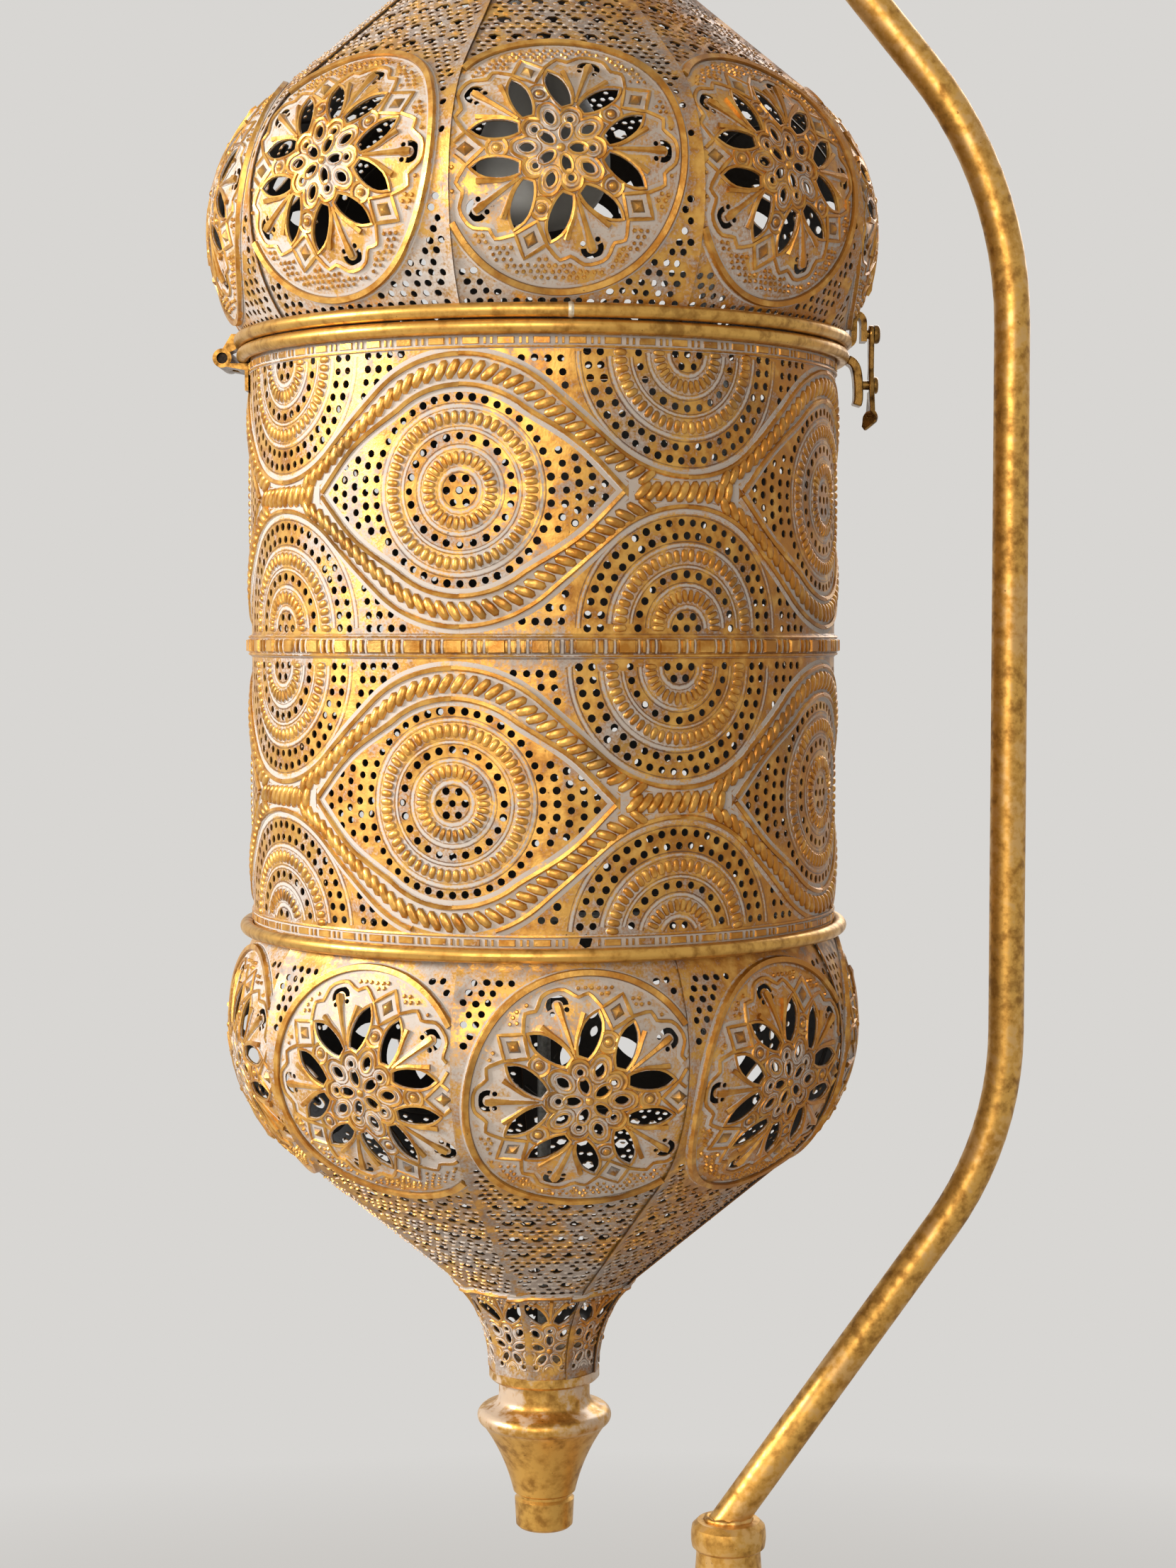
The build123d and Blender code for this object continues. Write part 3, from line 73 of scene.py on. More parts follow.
drumLow, drumHigh = nodeBox("upper_drum_sheet")
axisX = (drumLow[0] + drumHigh[0]) / 2
drumRadius = (drumHigh[0] - drumLow[0]) / 2
halfGirth = math.pi * drumRadius / mm  # of the drum, in mm
seamZ = (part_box("dome_rim_wire")[0].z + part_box("drum_rim_wire")[1].z) / 2
print("frame: lantern axis", round(axisX, 4), "drum radius", round(drumRadius, 4))


# small helpers

def hexLinear(text):
    values = [int(text[i:i + 2], 16) / 255 for i in (1, 3, 5)]
    return [v / 12.92 if v <= 0.04045 else ((v + 0.055) / 1.055) ** 2.4 for v in values] + [1.0]


def setInputs(tree, node, inputs):
    # each input gets a plain value, a socket, or a node, whose first output in use is linked
    for key, value in inputs.items():
        if isinstance(value, bpy.types.Node):
            value = next(out for out in value.outputs if out.enabled)
        if isinstance(value, bpy.types.NodeSocket):
            tree.links.new(value, node.inputs[key])
        else:
            node.inputs[key].default_value = value


def addNode(tree, kind, inputs=None, **settings):
    node = tree.nodes.new(kind)
    for key, value in settings.items():
        setattr(node, key, value)
    setInputs(tree, node, inputs or {})
    return node


def newMesh(name, verts, faces, edges=()):
    mesh = bpy.data.meshes.new(name)
    mesh.from_pydata([tuple(v) for v in verts], list(edges), [tuple(f) for f in faces])
    mesh.validate()
    return mesh


def formMesh(form, mesh):
    form.to_mesh(mesh)
    form.free()
    return mesh


def newObject(name, data):
    obj = bpy.data.objects.new(name, data)
    scene.collection.objects.link(obj)
    return obj


def fitted(piece, body, node=None):
    # a finished piece rides on a body, and stands for a solid where there is one
    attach(piece, body)
    if node:
        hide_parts(node)


def triangleCount(mesh):
    return sum(len(p.vertices) - 2 for p in mesh.polygons)


def setAttribute(mesh, name, values, kind="FLOAT"):
    attribute = mesh.attributes.new(name, kind, "POINT")
    field = "vector" if kind == "FLOAT_VECTOR" else "value"
    attribute.data.foreach_set(field, np.asarray(values).ravel())


def getAttribute(mesh, name, kind):
    values = np.zeros(len(mesh.vertices), kind)
    mesh.attributes[name].data.foreach_get("value", values)
    return values


# points on the flat sheet, in mm

def ringAngles(count):
    return np.arange(count) * 2 * math.pi / count


def around(cu, cv, radius, angles):
    return np.column_stack([cu + radius * np.cos(angles), cv + radius * np.sin(angles)])


def circlePoints(cu, cv, radius, step=3.5):
    return around(cu, cv, radius, ringAngles(max(10, int(round(2 * math.pi * radius / step)))))


def arcPoints(cu, cv, radius, start, end, step=2.7):
    count = max(2, int(math.ceil(abs(math.radians(end - start)) * radius / step)) + 1)
    return around(cu, cv, radius, np.radians(np.linspace(start, end, count)))


def polar(radius, angle):
    return around(0, 0, radius, math.radians(angle))[0]


def turned(points, angle):
    c = math.cos(angle)
    s = math.sin(angle)
    return np.column_stack([points[:, 0] * c - points[:, 1] * s, points[:, 0] * s + points[:, 1] * c])


def levelLine(reach, v, count):
    return np.column_stack([np.linspace(-reach, reach, count), np.full(count, v)])


def smoothLine(points, step=2.0):
    # a Catmull-Rom run through a few chosen points
    points = np.asarray(points, float)
    ends = np.vstack([2 * points[0] - points[1], points, 2 * points[-1] - points[-2]])
    out = []
    for i in range(1, len(ends) - 2):
        p0, p1, p2, p3 = ends[i - 1:i + 3]
        count = max(2, int(np.linalg.norm(p2 - p1) / step))
        for t in np.arange(count) / count:
            out.append(0.5 * (2 * p1 + (p2 - p0) * t + (2 * p0 - 5 * p1 + 4 * p2 - p3) * t * t
                              + (3 * p1 - p0 - 3 * p2 + p3) * t ** 3))
    out.append(points[-1])
    return np.array(out)


def evenly(points, step):
    # places along a line, with the line's bearing at each
    lengths = np.concatenate([[0], np.cumsum(np.linalg.norm(np.diff(points, axis=0), axis=1))])
    count = int(lengths[-1] / step)
    marks = (np.arange(count) + 0.5) * lengths[-1] / count
    u = np.interp(marks, lengths, points[:, 0])
    v = np.interp(marks, lengths, points[:, 1])
    index = np.clip(np.searchsorted(lengths, marks), 1, len(points) - 1)
    along = points[index] - points[index - 1]
    return np.column_stack([u, v]), np.arctan2(along[:, 1], along[:, 0])


def staggered(rows, cols, pitch, rowPitch, start=0.0, jitter=None):
    # places in rows, with every second row moved over by half a pitch
    for row in rows:
        for col in cols:
            u = (col + 0.5 * (row % 2)) * pitch
            v = start + row * rowPitch
            if jitter:
                u += rng.normal(0, jitter[0])
                v += rng.normal(0, jitter[1])
            yield u, v


def keptRuns(points, closed, inside):
    # splits a line where it leaves the sheet
    keep = inside(points) if inside else np.ones(len(points), bool)
    if keep.all():
        return [(points, closed)]
    if closed:
        first = int(np.argmin(keep))
        points = np.roll(points, -first, axis=0)
        keep = np.roll(keep, -first)
    breaks = np.flatnonzero(np.diff(keep)) + 1
    runs = zip(np.split(points, breaks), np.split(keep, breaks))
    return [(run, False) for run, kept in runs if kept[0] and len(run) > 2]


# tools of the relief: punches go through the sheet, stamps stand on it

toolSettings = {
    "punchReach": 4,  # mm above and below the sheet's face
    "stampFoot": -0.3, "ballFoot": -0.4,  # as a share of the stamp's height
}


def prism(name, low, high, lowZ, highZ):
    n = len(low)
    verts = [(x, y, lowZ) for x, y in low] + [(x, y, highZ) for x, y in high]
    faces = [tuple(reversed(range(n))), tuple(range(n, 2 * n))]
    faces += [(i, (i + 1) % n, n + (i + 1) % n, n + i) for i in range(n)]
    return newMesh(name, verts, faces)


def frustum(name, sides, top, turn):
    grow = 1 / math.cos(math.pi / sides) if sides == 4 else 1
    foot = around(0, 0, grow, ringAngles(sides) + turn)
    return prism(name, foot, top * foot, toolSettings["stampFoot"], 1.0)


def roundStamp(name, segments, rings, fullness):
    # part of a ball, with its plan filled out towards a rectangle where fullness is under 1
    form = bmesh.new()
    bmesh.ops.create_uvsphere(form, u_segments=segments, v_segments=rings, radius=1)
    cut = [v for v in form.verts if v.co.z < toolSettings["ballFoot"]]
    bmesh.ops.delete(form, geom=cut, context="VERTS")
    bmesh.ops.holes_fill(form, edges=[e for e in form.edges if e.is_boundary], sides=0)
    for v in form.verts:
        v.co.x = math.copysign(abs(v.co.x) ** fullness, v.co.x)
        v.co.y = math.copysign(abs(v.co.y) ** fullness, v.co.y)
    bmesh.ops.recalc_face_normals(form, faces=form.faces)
    return formMesh(form, bpy.data.meshes.new(name))


def petalRise(x):
    # half width of a petal opening along its length, pointed at 1 and blunt at -1
    return np.where(x > 0, 1 - np.abs(x) ** 2.3, 1 - 0.5 * np.abs(x) ** 2.6)


tipToTip = np.cos(np.linspace(0, math.pi, 11))
petalSide = np.column_stack([tipToTip, petalRise(tipToTip)])
petalOutline = np.vstack([petalSide, petalSide[:0:-1] * [1, -1]])
leafSide = np.column_stack([tipToTip, 1 - np.abs(tipToTip) ** 2.5])
horns = np.radians(np.linspace(-105, 105, 11))
punchOutlines = {
    "round": around(0, 0, 1, ringAngles(10)),
    "leaf": np.vstack([leafSide, -leafSide[1:-1]]),
    "lozenge": [(1, 0), (0.4, 0.8), (-0.4, 0.8), (-1, 0), (-0.4, -0.8), (0.4, -0.8)],
    "crescent": np.vstack([around(0, 0, 1, horns), around(-0.02, 0, 0.5, horns[::-1])]),
    "petal": petalOutline,
}
stampMeshes = {
    "pill": roundStamp("pillStamp", 8, 6, 0.72),
    "pebble": frustum("pebbleStamp", 6, 0.45, 0),
    "pad": frustum("padStamp", 4, 0.8, math.pi / 4),
    "pyramid": frustum("pyramidStamp", 4, 0.12, 0),
    "dome": roundStamp("domeStamp", 12, 8, 1.0),
    "bar": frustum("barStamp", 6, 0.55, 0),
}
punchKinds = list(punchOutlines)
stampKinds = list(stampMeshes)


def toolCollection(name, meshes):
    group = bpy.data.collections.new(name)
    scene.collection.children.link(group)
    for i, mesh in enumerate(meshes):
        group.objects.link(bpy.data.objects.new(f"{name}{i}", mesh))
    return group


punchReach = toolSettings["punchReach"]
punchTools = toolCollection("punchTool", [prism(kind + "Punch", outline, outline, -punchReach, punchReach)
                                          for kind, outline in punchOutlines.items()])
stampTools = toolCollection("stampTool", stampMeshes.values())


# flat relief: every sheet is drawn flat in millimetres, then wrapped onto the lantern

reliefSettings = {
    "lineLift": 0.25,  # share of a raised line's radius that its middle stands above the sheet
    "filmLift": 0.01,
    "Line Sides": 5, "Film Sides": 4, "Film Height": 0.08,  # inputs of the embossing tree
    "raisedChalk": (0.9, 1.1, 0.8),  # on raised work: most, height in mm where it ends, fade below that
    "footGrime": (0.6, 0.4, 0.4),  # painted shade at its foot, in the same way
    "filmFace": 0.02, "filmEdge": 0.35,  # height of a film's face, and the share of chalk beside it
    "chalkDepth": -0.3, "backDepth": -0.5,  # below these a point has no chalk, and is on the sheet's back, painted near black as shade inside the lantern
    "rubbedAzimuth": 54, "rubbedWidth": 26, "chalkLost": 0.1,  # degrees from the front and width of a band of painted warm light on the right side, with less chalk there, where most gold shows
    "sharpAngle": 38,
}


class Relief:
    def __init__(self):
        self.punches = []
        self.stamps = []
        self.lines = []  # raised lines
        self.films = []  # flat bands of chalk wash

    def punch(self, kind, u, v, turn, sx, sy):
        self.punches.append((punchKinds.index(kind), u, v, turn, sx, sy, 1.0))

    def stamp(self, kind, u, v, turn, sx, sy, sz):
        self.stamps.append((stampKinds.index(kind), u, v, turn, sx, sy, sz))

    def line(self, points, radius, closed=False, inside=None):
        points = np.asarray(points, float)
        radii = np.broadcast_to(np.asarray(radius, float), (len(points),))
        for run, shut in keptRuns(points, closed, inside):
            self.lines.append((run, radii[:len(run)], shut, reliefSettings["lineLift"], 0.0))

    def film(self, points, halfWidth, amount, closed=False, inside=None):
        for run, shut in keptRuns(np.asarray(points, float), closed, inside):
            self.films.append((run, np.full(len(run), halfWidth), shut, reliefSettings["filmLift"], amount))


embossInputs = {
    "Sheet": "Geometry", "Punch Points": "Object", "Stamp Points": "Object", "Lines": "Object",
    "Films": "Object", "Punches": "Collection", "Stamps": "Collection", "Line Sides": "Int",
    "Film Sides": "Int", "Film Height": "Float", "Finish": "Material",
}


def embossingTree():
    tree = bpy.data.node_groups.new("embossAndPierce", "GeometryNodeTree")
    for name, kind in embossInputs.items():
        tree.interface.new_socket(name, in_out="INPUT", socket_type="NodeSocket" + kind)
    tree.interface.new_socket("Geometry", in_out="OUTPUT", socket_type="NodeSocketGeometry")
    given = addNode(tree, "NodeGroupInput").outputs

    def struck(points, tools):
        spots = addNode(tree, "GeometryNodeObjectInfo", {"Object": points})
        group = addNode(tree, "GeometryNodeCollectionInfo",
                        {"Collection": tools, "Separate Children": True, "Reset Children": True})
        own = {}
        for name, kind in (("kind", "INT"), ("turn", "FLOAT_VECTOR"), ("size", "FLOAT_VECTOR")):
            own[name] = addNode(tree, "GeometryNodeInputNamedAttribute", {"Name": name}, data_type=kind)
        turn = addNode(tree, "FunctionNodeEulerToRotation", {"Euler": own["turn"]})
        placed = addNode(tree, "GeometryNodeInstanceOnPoints", {
            "Points": spots.outputs["Geometry"], "Instance": group, "Pick Instance": True,
            "Instance Index": own["kind"], "Rotation": turn, "Scale": own["size"]})
        return addNode(tree, "GeometryNodeRealizeInstances", {0: placed})

    def swept(paths, sides, height):
        edges = addNode(tree, "GeometryNodeObjectInfo", {"Object": paths})
        curve = addNode(tree, "GeometryNodeMeshToCurve", {"Mesh": edges.outputs["Geometry"]})
        level = addNode(tree, "GeometryNodeSetCurveNormal", {"Curve": curve}, mode="Z_UP")
        circle = addNode(tree, "GeometryNodeCurvePrimitiveCircle", {"Resolution": sides, "Radius": 1.0})
        shape = addNode(tree, "ShaderNodeCombineXYZ", {"X": 1.0, "Y": height, "Z": 1.0})
        section = addNode(tree, "GeometryNodeTransform", {"Geometry": circle, "Scale": shape})
        width = addNode(tree, "GeometryNodeInputNamedAttribute", {"Name": "width"}, data_type="FLOAT")
        return addNode(tree, "GeometryNodeCurveToMesh", {
            "Curve": level, "Profile Curve": section, "Scale": width, "Fill Caps": True})

    pierced = addNode(tree, "GeometryNodeMeshBoolean", {"Mesh 1": given["Sheet"]},
                      operation="DIFFERENCE", solver="MANIFOLD")
    setInputs(tree, pierced, {"Mesh 2": struck(given["Punch Points"], given["Punches"])})
    layers = [pierced, struck(given["Stamp Points"], given["Stamps"]),
              swept(given["Lines"], given["Line Sides"], 1.0),
              swept(given["Films"], given["Film Sides"], given["Film Height"])]
    join = addNode(tree, "GeometryNodeJoinGeometry")
    for number, layer in reversed(list(enumerate(layers))):
        marked = addNode(tree, "GeometryNodeStoreNamedAttribute",
                         {"Geometry": layer, "Name": "layer", "Value": number}, data_type="INT")
        setInputs(tree, join, {0: marked})
    whole = addNode(tree, "GeometryNodeRealizeInstances", {0: join})
    painted = addNode(tree, "GeometryNodeSetMaterial", {"Geometry": whole, "Material": given["Finish"]})
    addNode(tree, "NodeGroupOutput", {"Geometry": painted})
    return tree


embossTree = embossingTree()


def spotsObject(name, rows):
    rows = np.array(rows, float).reshape(-1, 7)
    flat = np.zeros(len(rows))
    mesh = newMesh(name, np.column_stack([rows[:, 1:3], flat]), [])
    setAttribute(mesh, "kind", rows[:, 0].astype(np.int32), "INT")
    setAttribute(mesh, "turn", np.column_stack([flat, flat, rows[:, 3]]), "FLOAT_VECTOR")
    setAttribute(mesh, "size", rows[:, 4:7], "FLOAT_VECTOR")
    return newObject(name, mesh)


def pathsObject(name, paths):
    verts = []
    edges = []
    widths = []
    amounts = []
    for points, radii, closed, lift, amount in paths:
        first = len(verts)
        verts += [(p[0], p[1], lift * r) for p, r in zip(points, radii)]
        edges += [(i, i + 1) for i in range(first, len(verts) - 1)]
        if closed:
            edges.append((len(verts) - 1, first))
        widths += list(radii)
        amounts += [amount] * len(points)
    mesh = newMesh(name, verts, [], edges)
    setAttribute(mesh, "width", widths)
    setAttribute(mesh, "amount", amounts)
    return newObject(name, mesh)


def slab(name, gridU, gridV, thickness):
    # a closed flat sheet with its face at height 0
    rows, cols = gridU.shape
    count = rows * cols
    top = np.column_stack([gridU.ravel(), gridV.ravel(), np.zeros(count)])
    bottom = top - [0, 0, thickness]
    index = np.arange(count).reshape(rows, cols)
    quads = np.stack([index[:-1, :-1], index[:-1, 1:], index[1:, 1:], index[1:, :-1]], -1).reshape(-1, 4)
    faces = [tuple(q) for q in quads] + [tuple(q[::-1] + count) for q in quads]
    rim = [*index[0, :-1], *index[:-1, -1], *index[-1, :0:-1], *index[:0:-1, 0]]
    faces += [(b, a, a + count, b + count) for a, b in zip(rim, rim[1:] + rim[:1])]
    return newMesh(name, np.vstack([top, bottom]), faces)


def embossed(name, sheetMesh, relief):
    # strikes the relief into a flat sheet and returns it as a plain mesh, still flat, with its points
    sheet = newObject(name, sheetMesh)
    helpers = {
        "Punch Points": spotsObject(name + "Punches", relief.punches),
        "Stamp Points": spotsObject(name + "Stamps", relief.stamps),
        "Lines": pathsObject(name + "Lines", relief.lines),
        "Films": pathsObject(name + "Films", relief.films),
    }
    modifier = sheet.modifiers.new("emboss", "NODES")
    modifier.node_group = embossTree
    wanted = {**reliefSettings, **helpers, "Punches": punchTools, "Stamps": stampTools,
              "Finish": sheetMaterial}
    for item in embossTree.interface.items_tree:
        if item.name in wanted:
            modifier[item.identifier] = wanted[item.name]
    graph = bpy.context.evaluated_depsgraph_get()
    mesh = bpy.data.meshes.new_from_object(sheet.evaluated_get(graph))
    sheet.modifiers.remove(modifier)
    for helper in [*helpers.values(), sheet]:
        bpy.data.objects.remove(helper)
    flat = np.zeros(len(mesh.vertices) * 3, np.float32)
    mesh.vertices.foreach_get("co", flat)
    return mesh, flat.reshape(-1, 3).astype(float)


def washAmount(mesh, flat, ground):
    # chalk wash, and brown grime with painted shade, at each point: chalk on the films, painted shade round
    # them and at the foot of raised work, grime and painted shade on the open ground
    k = reliefSettings
    height = flat[:, 2]
    layer = getAttribute(mesh, "layer", np.int32)
    layers = [layer == 0, layer == 3]  # the sheet itself, the films, and the rest raised
    raised, foot = (most * np.clip((end - height) / fade, 0, 1)
                    for most, end, fade in (k["raisedChalk"], k["footGrime"]))
    openWash, openGrimeAndShade = ground(flat[:, 0], flat[:, 1])
    openWash = np.where(height > k["chalkDepth"], openWash, 0.0)
    onFilm = height > k["filmFace"]
    film = getAttribute(mesh, "amount", np.float32) * np.where(onFilm, 1.0, k["filmEdge"])
    return np.select(layers, [openWash, film], raised), np.select(layers, [openGrimeAndShade, ~onFilm], foot)


def finishSheet(mesh, flat, place, wash, grimeAndShade):
    k = reliefSettings
    points = place(flat)
    # a band of painted warm light round the right side, from the front: more amber and less chalk there
    azimuth = np.degrees(np.arctan2(points[:, 0] - axisX, -points[:, 1]))
    warmLitSide = np.exp(-((azimuth - k["rubbedAzimuth"]) / k["rubbedWidth"]) ** 2)
    mesh.vertices.foreach_set("co", points.astype(np.float32).ravel())
    for name in ("layer", "amount"):
        mesh.attributes.remove(mesh.attributes[name])
    setAttribute(mesh, "wash", wash - k["chalkLost"] * warmLitSide)
    setAttribute(mesh, "warmLitSide", warmLitSide)
    setAttribute(mesh, "grimeAndShade", grimeAndShade)
    setAttribute(mesh, "inside", (flat[:, 2] < k["backDepth"]).astype(float))
    mesh.update()
    mesh.shade_smooth()
    mesh.set_sharp_from_angle(angle=math.radians(k["sharpAngle"]))


def wrappedBand(name, relief, k, middle, levels, rows, ground, proud=lambda v: 0.0):
    # a band struck flat and wrapped round the drum, proud of it by so many mm at each level
    cols = int(2 * halfGirth / k["sheetStep"]) + 1
    gridU, gridV = np.meshgrid(np.linspace(-halfGirth, halfGirth, cols), np.linspace(*levels, rows))
    mesh, flat = embossed(name, slab(name + "Slab", gridU, gridV, k["sheetThickness"]), relief)

    def place(points):
        angle = points[:, 0] * mm / drumRadius
        r = drumRadius + (points[:, 2] + proud(points[:, 1])) * mm
        return np.column_stack([axisX + r * np.sin(angle), -r * np.cos(angle), middle + points[:, 1] * mm])

    finishSheet(mesh, flat, place, *washAmount(mesh, flat, ground))
    return mesh


# finishes

def newMaterial(name, sizes, detail=3.0):
    # a material with one noise for each size in mm, on the object's own coordinates
    material = bpy.data.materials.new(name)
    material.use_nodes = True
    tree = material.node_tree
    coords = addNode(tree, "ShaderNodeTexCoord").outputs["Object"]
    noise = {}
    for field, size in sizes.items():
        noise[field] = addNode(tree, "ShaderNodeTexNoise", {
            "Vector": coords, "Scale": 1 / (size * mm), "Detail": detail, "Roughness": 0.6})
    return material, tree, coords, noise


def layered(tree, base, layers):
    # each layer covers what is under it, from none to its most as its value runs from low to high
    colour = hexLinear(base)
    share = {}
    for name, (tint, value, low, high, most) in layers.items():
        share[name] = addNode(tree, "ShaderNodeMapRange", {
            "Value": value, "From Min": low, "From Max": high, "To Max": most})
        colour = addNode(tree, "ShaderNodeMix", {0: share[name], 6: colour, 7: hexLinear(tint)},
                         data_type="RGBA")
    return colour, share


def surfaced(material, inputs, ranges, height, strength, depth):
    # sets the shader's inputs, some of them run over a range, and a fine grain of so many mm
    tree = material.node_tree
    for name, limits in ranges.items():
        inputs[name] = addNode(tree, "ShaderNodeMapRange", limits)
    if strength:
        inputs["Normal"] = addNode(tree, "ShaderNodeBump", {
            "Height": height, "Strength": strength, "Distance": depth * mm})
    setInputs(tree, tree.nodes["Principled BSDF"], inputs)
    return material


# the sheet's back is near black, as painted shade inside the lantern
sheetFinish = {
    "gold": "#D3A453", "amber": "#AB7122", "brown": "#4A2A0C", "chalk": "#B8B1AC", "inside": "#140D07",
    "noise": {"patches": 46, "mottle": 7.5, "grain": 1.1, "specks": 2.3},  # mm
    "breakUp": {"patches": 0.9, "mottle": 0.85, "grain": 0.6},  # how far each noise breaks up the wash
    "metallic": 0.66, "roughGold": 0.36, "roughChalk": 0.8, "specular": 0.6,
    "bump": (0.4, 0.4),  # strength and mm
}


def gildedBrassSheet():
    # stamped brass sheet under rubbed gold paint: a satin grainy gold, amber in patches and more on the right
    # side as painted warm light, with a dry chalk wash left beside the raised work, brown grime and painted
    # shade round it and at its foot, and a near-black back as painted shade inside the lantern
    k = sheetFinish
    material, tree, coords, noise = newMaterial("gilded stamped brass, chalk washed", k["noise"])
    own = {}
    for name in ("wash", "grimeAndShade", "warmLitSide", "inside"):
        own[name] = addNode(tree, "ShaderNodeAttribute", attribute_name=name).outputs["Fac"]
    # the wash breaks up over three sizes of noise
    broken = own["wash"]
    for name, amount in k["breakUp"].items():
        shifted = addNode(tree, "ShaderNodeMath", {0: noise[name], 1: 0.5}, operation="SUBTRACT")
        broken = addNode(tree, "ShaderNodeMath", {0: shifted, 1: amount, 2: broken}, operation="MULTIPLY_ADD")
    # brown from grime and from painted shade beside and under the raised work, and amber that grows on the
    # right side as painted warm light
    sums = (("dirtAndShade", noise["mottle"], 0.9, own["grimeAndShade"]), ("warm", own["warmLitSide"], 0.16, noise["mottle"]),
            ("grain", noise["grain"], 0.5, noise["mottle"]))
    mixed = {}
    for name, value, times, plus in sums:
        mixed[name] = addNode(tree, "ShaderNodeMath", {0: value, 1: times, 2: plus}, operation="MULTIPLY_ADD")
    colour, share = layered(tree, k["gold"], {
        "amber": (k["amber"], mixed["warm"], 0.38, 0.64, 1.0),
        "tarnish": (k["brown"], noise["patches"], 0.5, 0.7, 0.6),
        "chalk": (k["chalk"], broken, 0.5, 0.74, 1.0),
        "grimeAndShade": (k["brown"], mixed["dirtAndShade"], 0.85, 1.4, 0.9),
        "specks": (k["brown"], noise["specks"], 0.3, 0.24, 0.75),
    })
    # the back of the sheet is painted near black, as painted shade inside the lantern
    colour = addNode(tree, "ShaderNodeMix", {0: own["inside"], 6: colour, 7: hexLinear(k["inside"])},
                     data_type="RGBA")
    covered = own["inside"]
    for name in ("chalk", "grimeAndShade"):
        covered = addNode(tree, "ShaderNodeMath", {0: covered, 1: share[name]}, operation="MAXIMUM")
    return surfaced(material, {"Base Color": colour, "Specular IOR Level": k["specular"]}, {
        "Metallic": {"Value": covered, "To Min": k["metallic"], "To Max": 0.0},
        "Roughness": {"Value": share["chalk"], "To Min": k["roughGold"], "To Max": k["roughChalk"]},
    }, mixed["grain"], *k["bump"])


giltFinish = {
    "gold": "#D0A253", "amber": "#A87A36", "brown": "#5A3A18", "chalk": "#C6BFBB",
    "noise": {"patches": 36, "mottle": 5.5, "grain": 0.9, "specks": 2.2},
    "metallic": (0.85, 0.1),  # of the gold and of the chalk
    "roughSpread": (-0.05, 0.12),
    "chalkFade": 4,  # mm
    "bump": (0.1, 0.3),
    "kinds": {
        "rim_gilt": {"name": "gilt drawn brass wire", "rough": 0.33, "worn": 0.3, "chalk": 0.0,
                     "chalkRange": (0.98, 0.84)},
        "stand_gilt": {"name": "gilt painted steel tube", "rough": 0.38, "worn": 0.4, "chalk": 0.12,
                       "chalkRange": (0.98, 0.84)},
        "finial": {"name": "gilt turned brass", "rough": 0.33, "worn": 0.4, "chalk": 0.6,
                   "chalkRange": (1.02, 0.86), "chalkFrom": 0.62},
    },
}


def rubbedGilt(kind):
    # gold paint over turned and drawn metal, worn thin, with brown specks and a little of the same wash
    k = giltFinish
    own = k["kinds"][kind]
    material, tree, coords, noise = newMaterial(own["name"], k["noise"])
    both = addNode(tree, "ShaderNodeMath", {0: noise["patches"], 1: noise["mottle"]}, operation="ADD")
    grain = addNode(tree, "ShaderNodeMath", {0: noise["grain"], 1: 0.4, 2: noise["mottle"]},
                    operation="MULTIPLY_ADD")
    chalk = own["chalk"]
    if "chalkFrom" in own:
        # the wash lies on the upper part only
        low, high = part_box(kind)
        level = low.z + own["chalkFrom"] * (high.z - low.z)
        z = addNode(tree, "ShaderNodeSeparateXYZ", {0: coords}).outputs["Z"]
        fade = k["chalkFade"] * mm
        upper = {"Value": z, "From Min": level - fade, "From Max": level + fade, "To Max": chalk}
        chalk = addNode(tree, "ShaderNodeMapRange", upper)
    colour, share = layered(tree, k["gold"], {
        "amber": (k["amber"], noise["mottle"], 0.42, 0.68, 0.9),
        "worn": (k["brown"], both, 1.04, 1.24, own["worn"]),
        "chalk": (k["chalk"], both, *own["chalkRange"], chalk),
        "specks": (k["brown"], noise["specks"], 0.3, 0.25, 0.7),
    })
    smooth, rough = (own["rough"] + change for change in k["roughSpread"])
    gold, dull = k["metallic"]
    return surfaced(material, {"Base Color": colour}, {
        "Metallic": {"Value": share["chalk"], "To Min": gold, "To Max": dull},
        "Roughness": {"Value": noise["mottle"], "From Min": 0.3, "From Max": 0.7,
                      "To Min": smooth, "To Max": rough},
    }, grain, *k["bump"])


plainSpread = (-0.05, 0.1)  # of the roughness
plainBump = (0.2, 0.2)  # strength and mm
plainFinishes = {  # name, two colours, metallic, roughness, mm from one colour to the other
    "bare_brass": ("darkened brass", "#80602F", "#463013", 1.0, 0.28, 3),  # low shine, brown in spots
    "latch_tarnish_and_sheen": ("tarnished brass", "#94703A", "#33200D", 1.0, 0.24, 4),  # dark tarnish, with lighter gold patches as painted highlights
    "pin_painted_bore_shade": ("browned steel", "#2C2118", "#1A130D", 0.7, 0.5, 2),  # near black and dull: painted shade, so that the pin's end shows as a dark bore
    "steel": ("zinc plated steel", "#9A9A96", "#6E6D69", 1.0, 0.4, 2),  # grey, a soft shine
    "iron": ("black cast iron", "#2B2A29", "#1C1B1A", 0.6, 0.7, 2),  # rough and dark
    "felt": ("green felt", "#2F3B2D", "#222B20", 0.0, 0.95, 1),  # matt
    "bush_rubber": ("black rubber", "#1D1D1C", "#262625", 0.0, 0.6, 2),  # matt, slightly grey
    "bakelite": ("moulded bakelite", "#231812", "#33221A", 0.0, 0.3, 6),  # brown, glossy
    "bulb_metal": ("aluminium lamp cap", "#B5B4B0", "#97968F", 1.0, 0.35, 2),  # pale, soft shine
    "solder": ("pale solder", "#D8CDB8", "#B9A98C", 0.6, 0.4, 1),  # a light, dull spot
    "bulb_glass": ("frosted lamp glass", "#A9A59D", "#9E9A92", 0.0, 0.4, 12),  # milky, greyed as painted shade of the unlit inside, lets light through
}


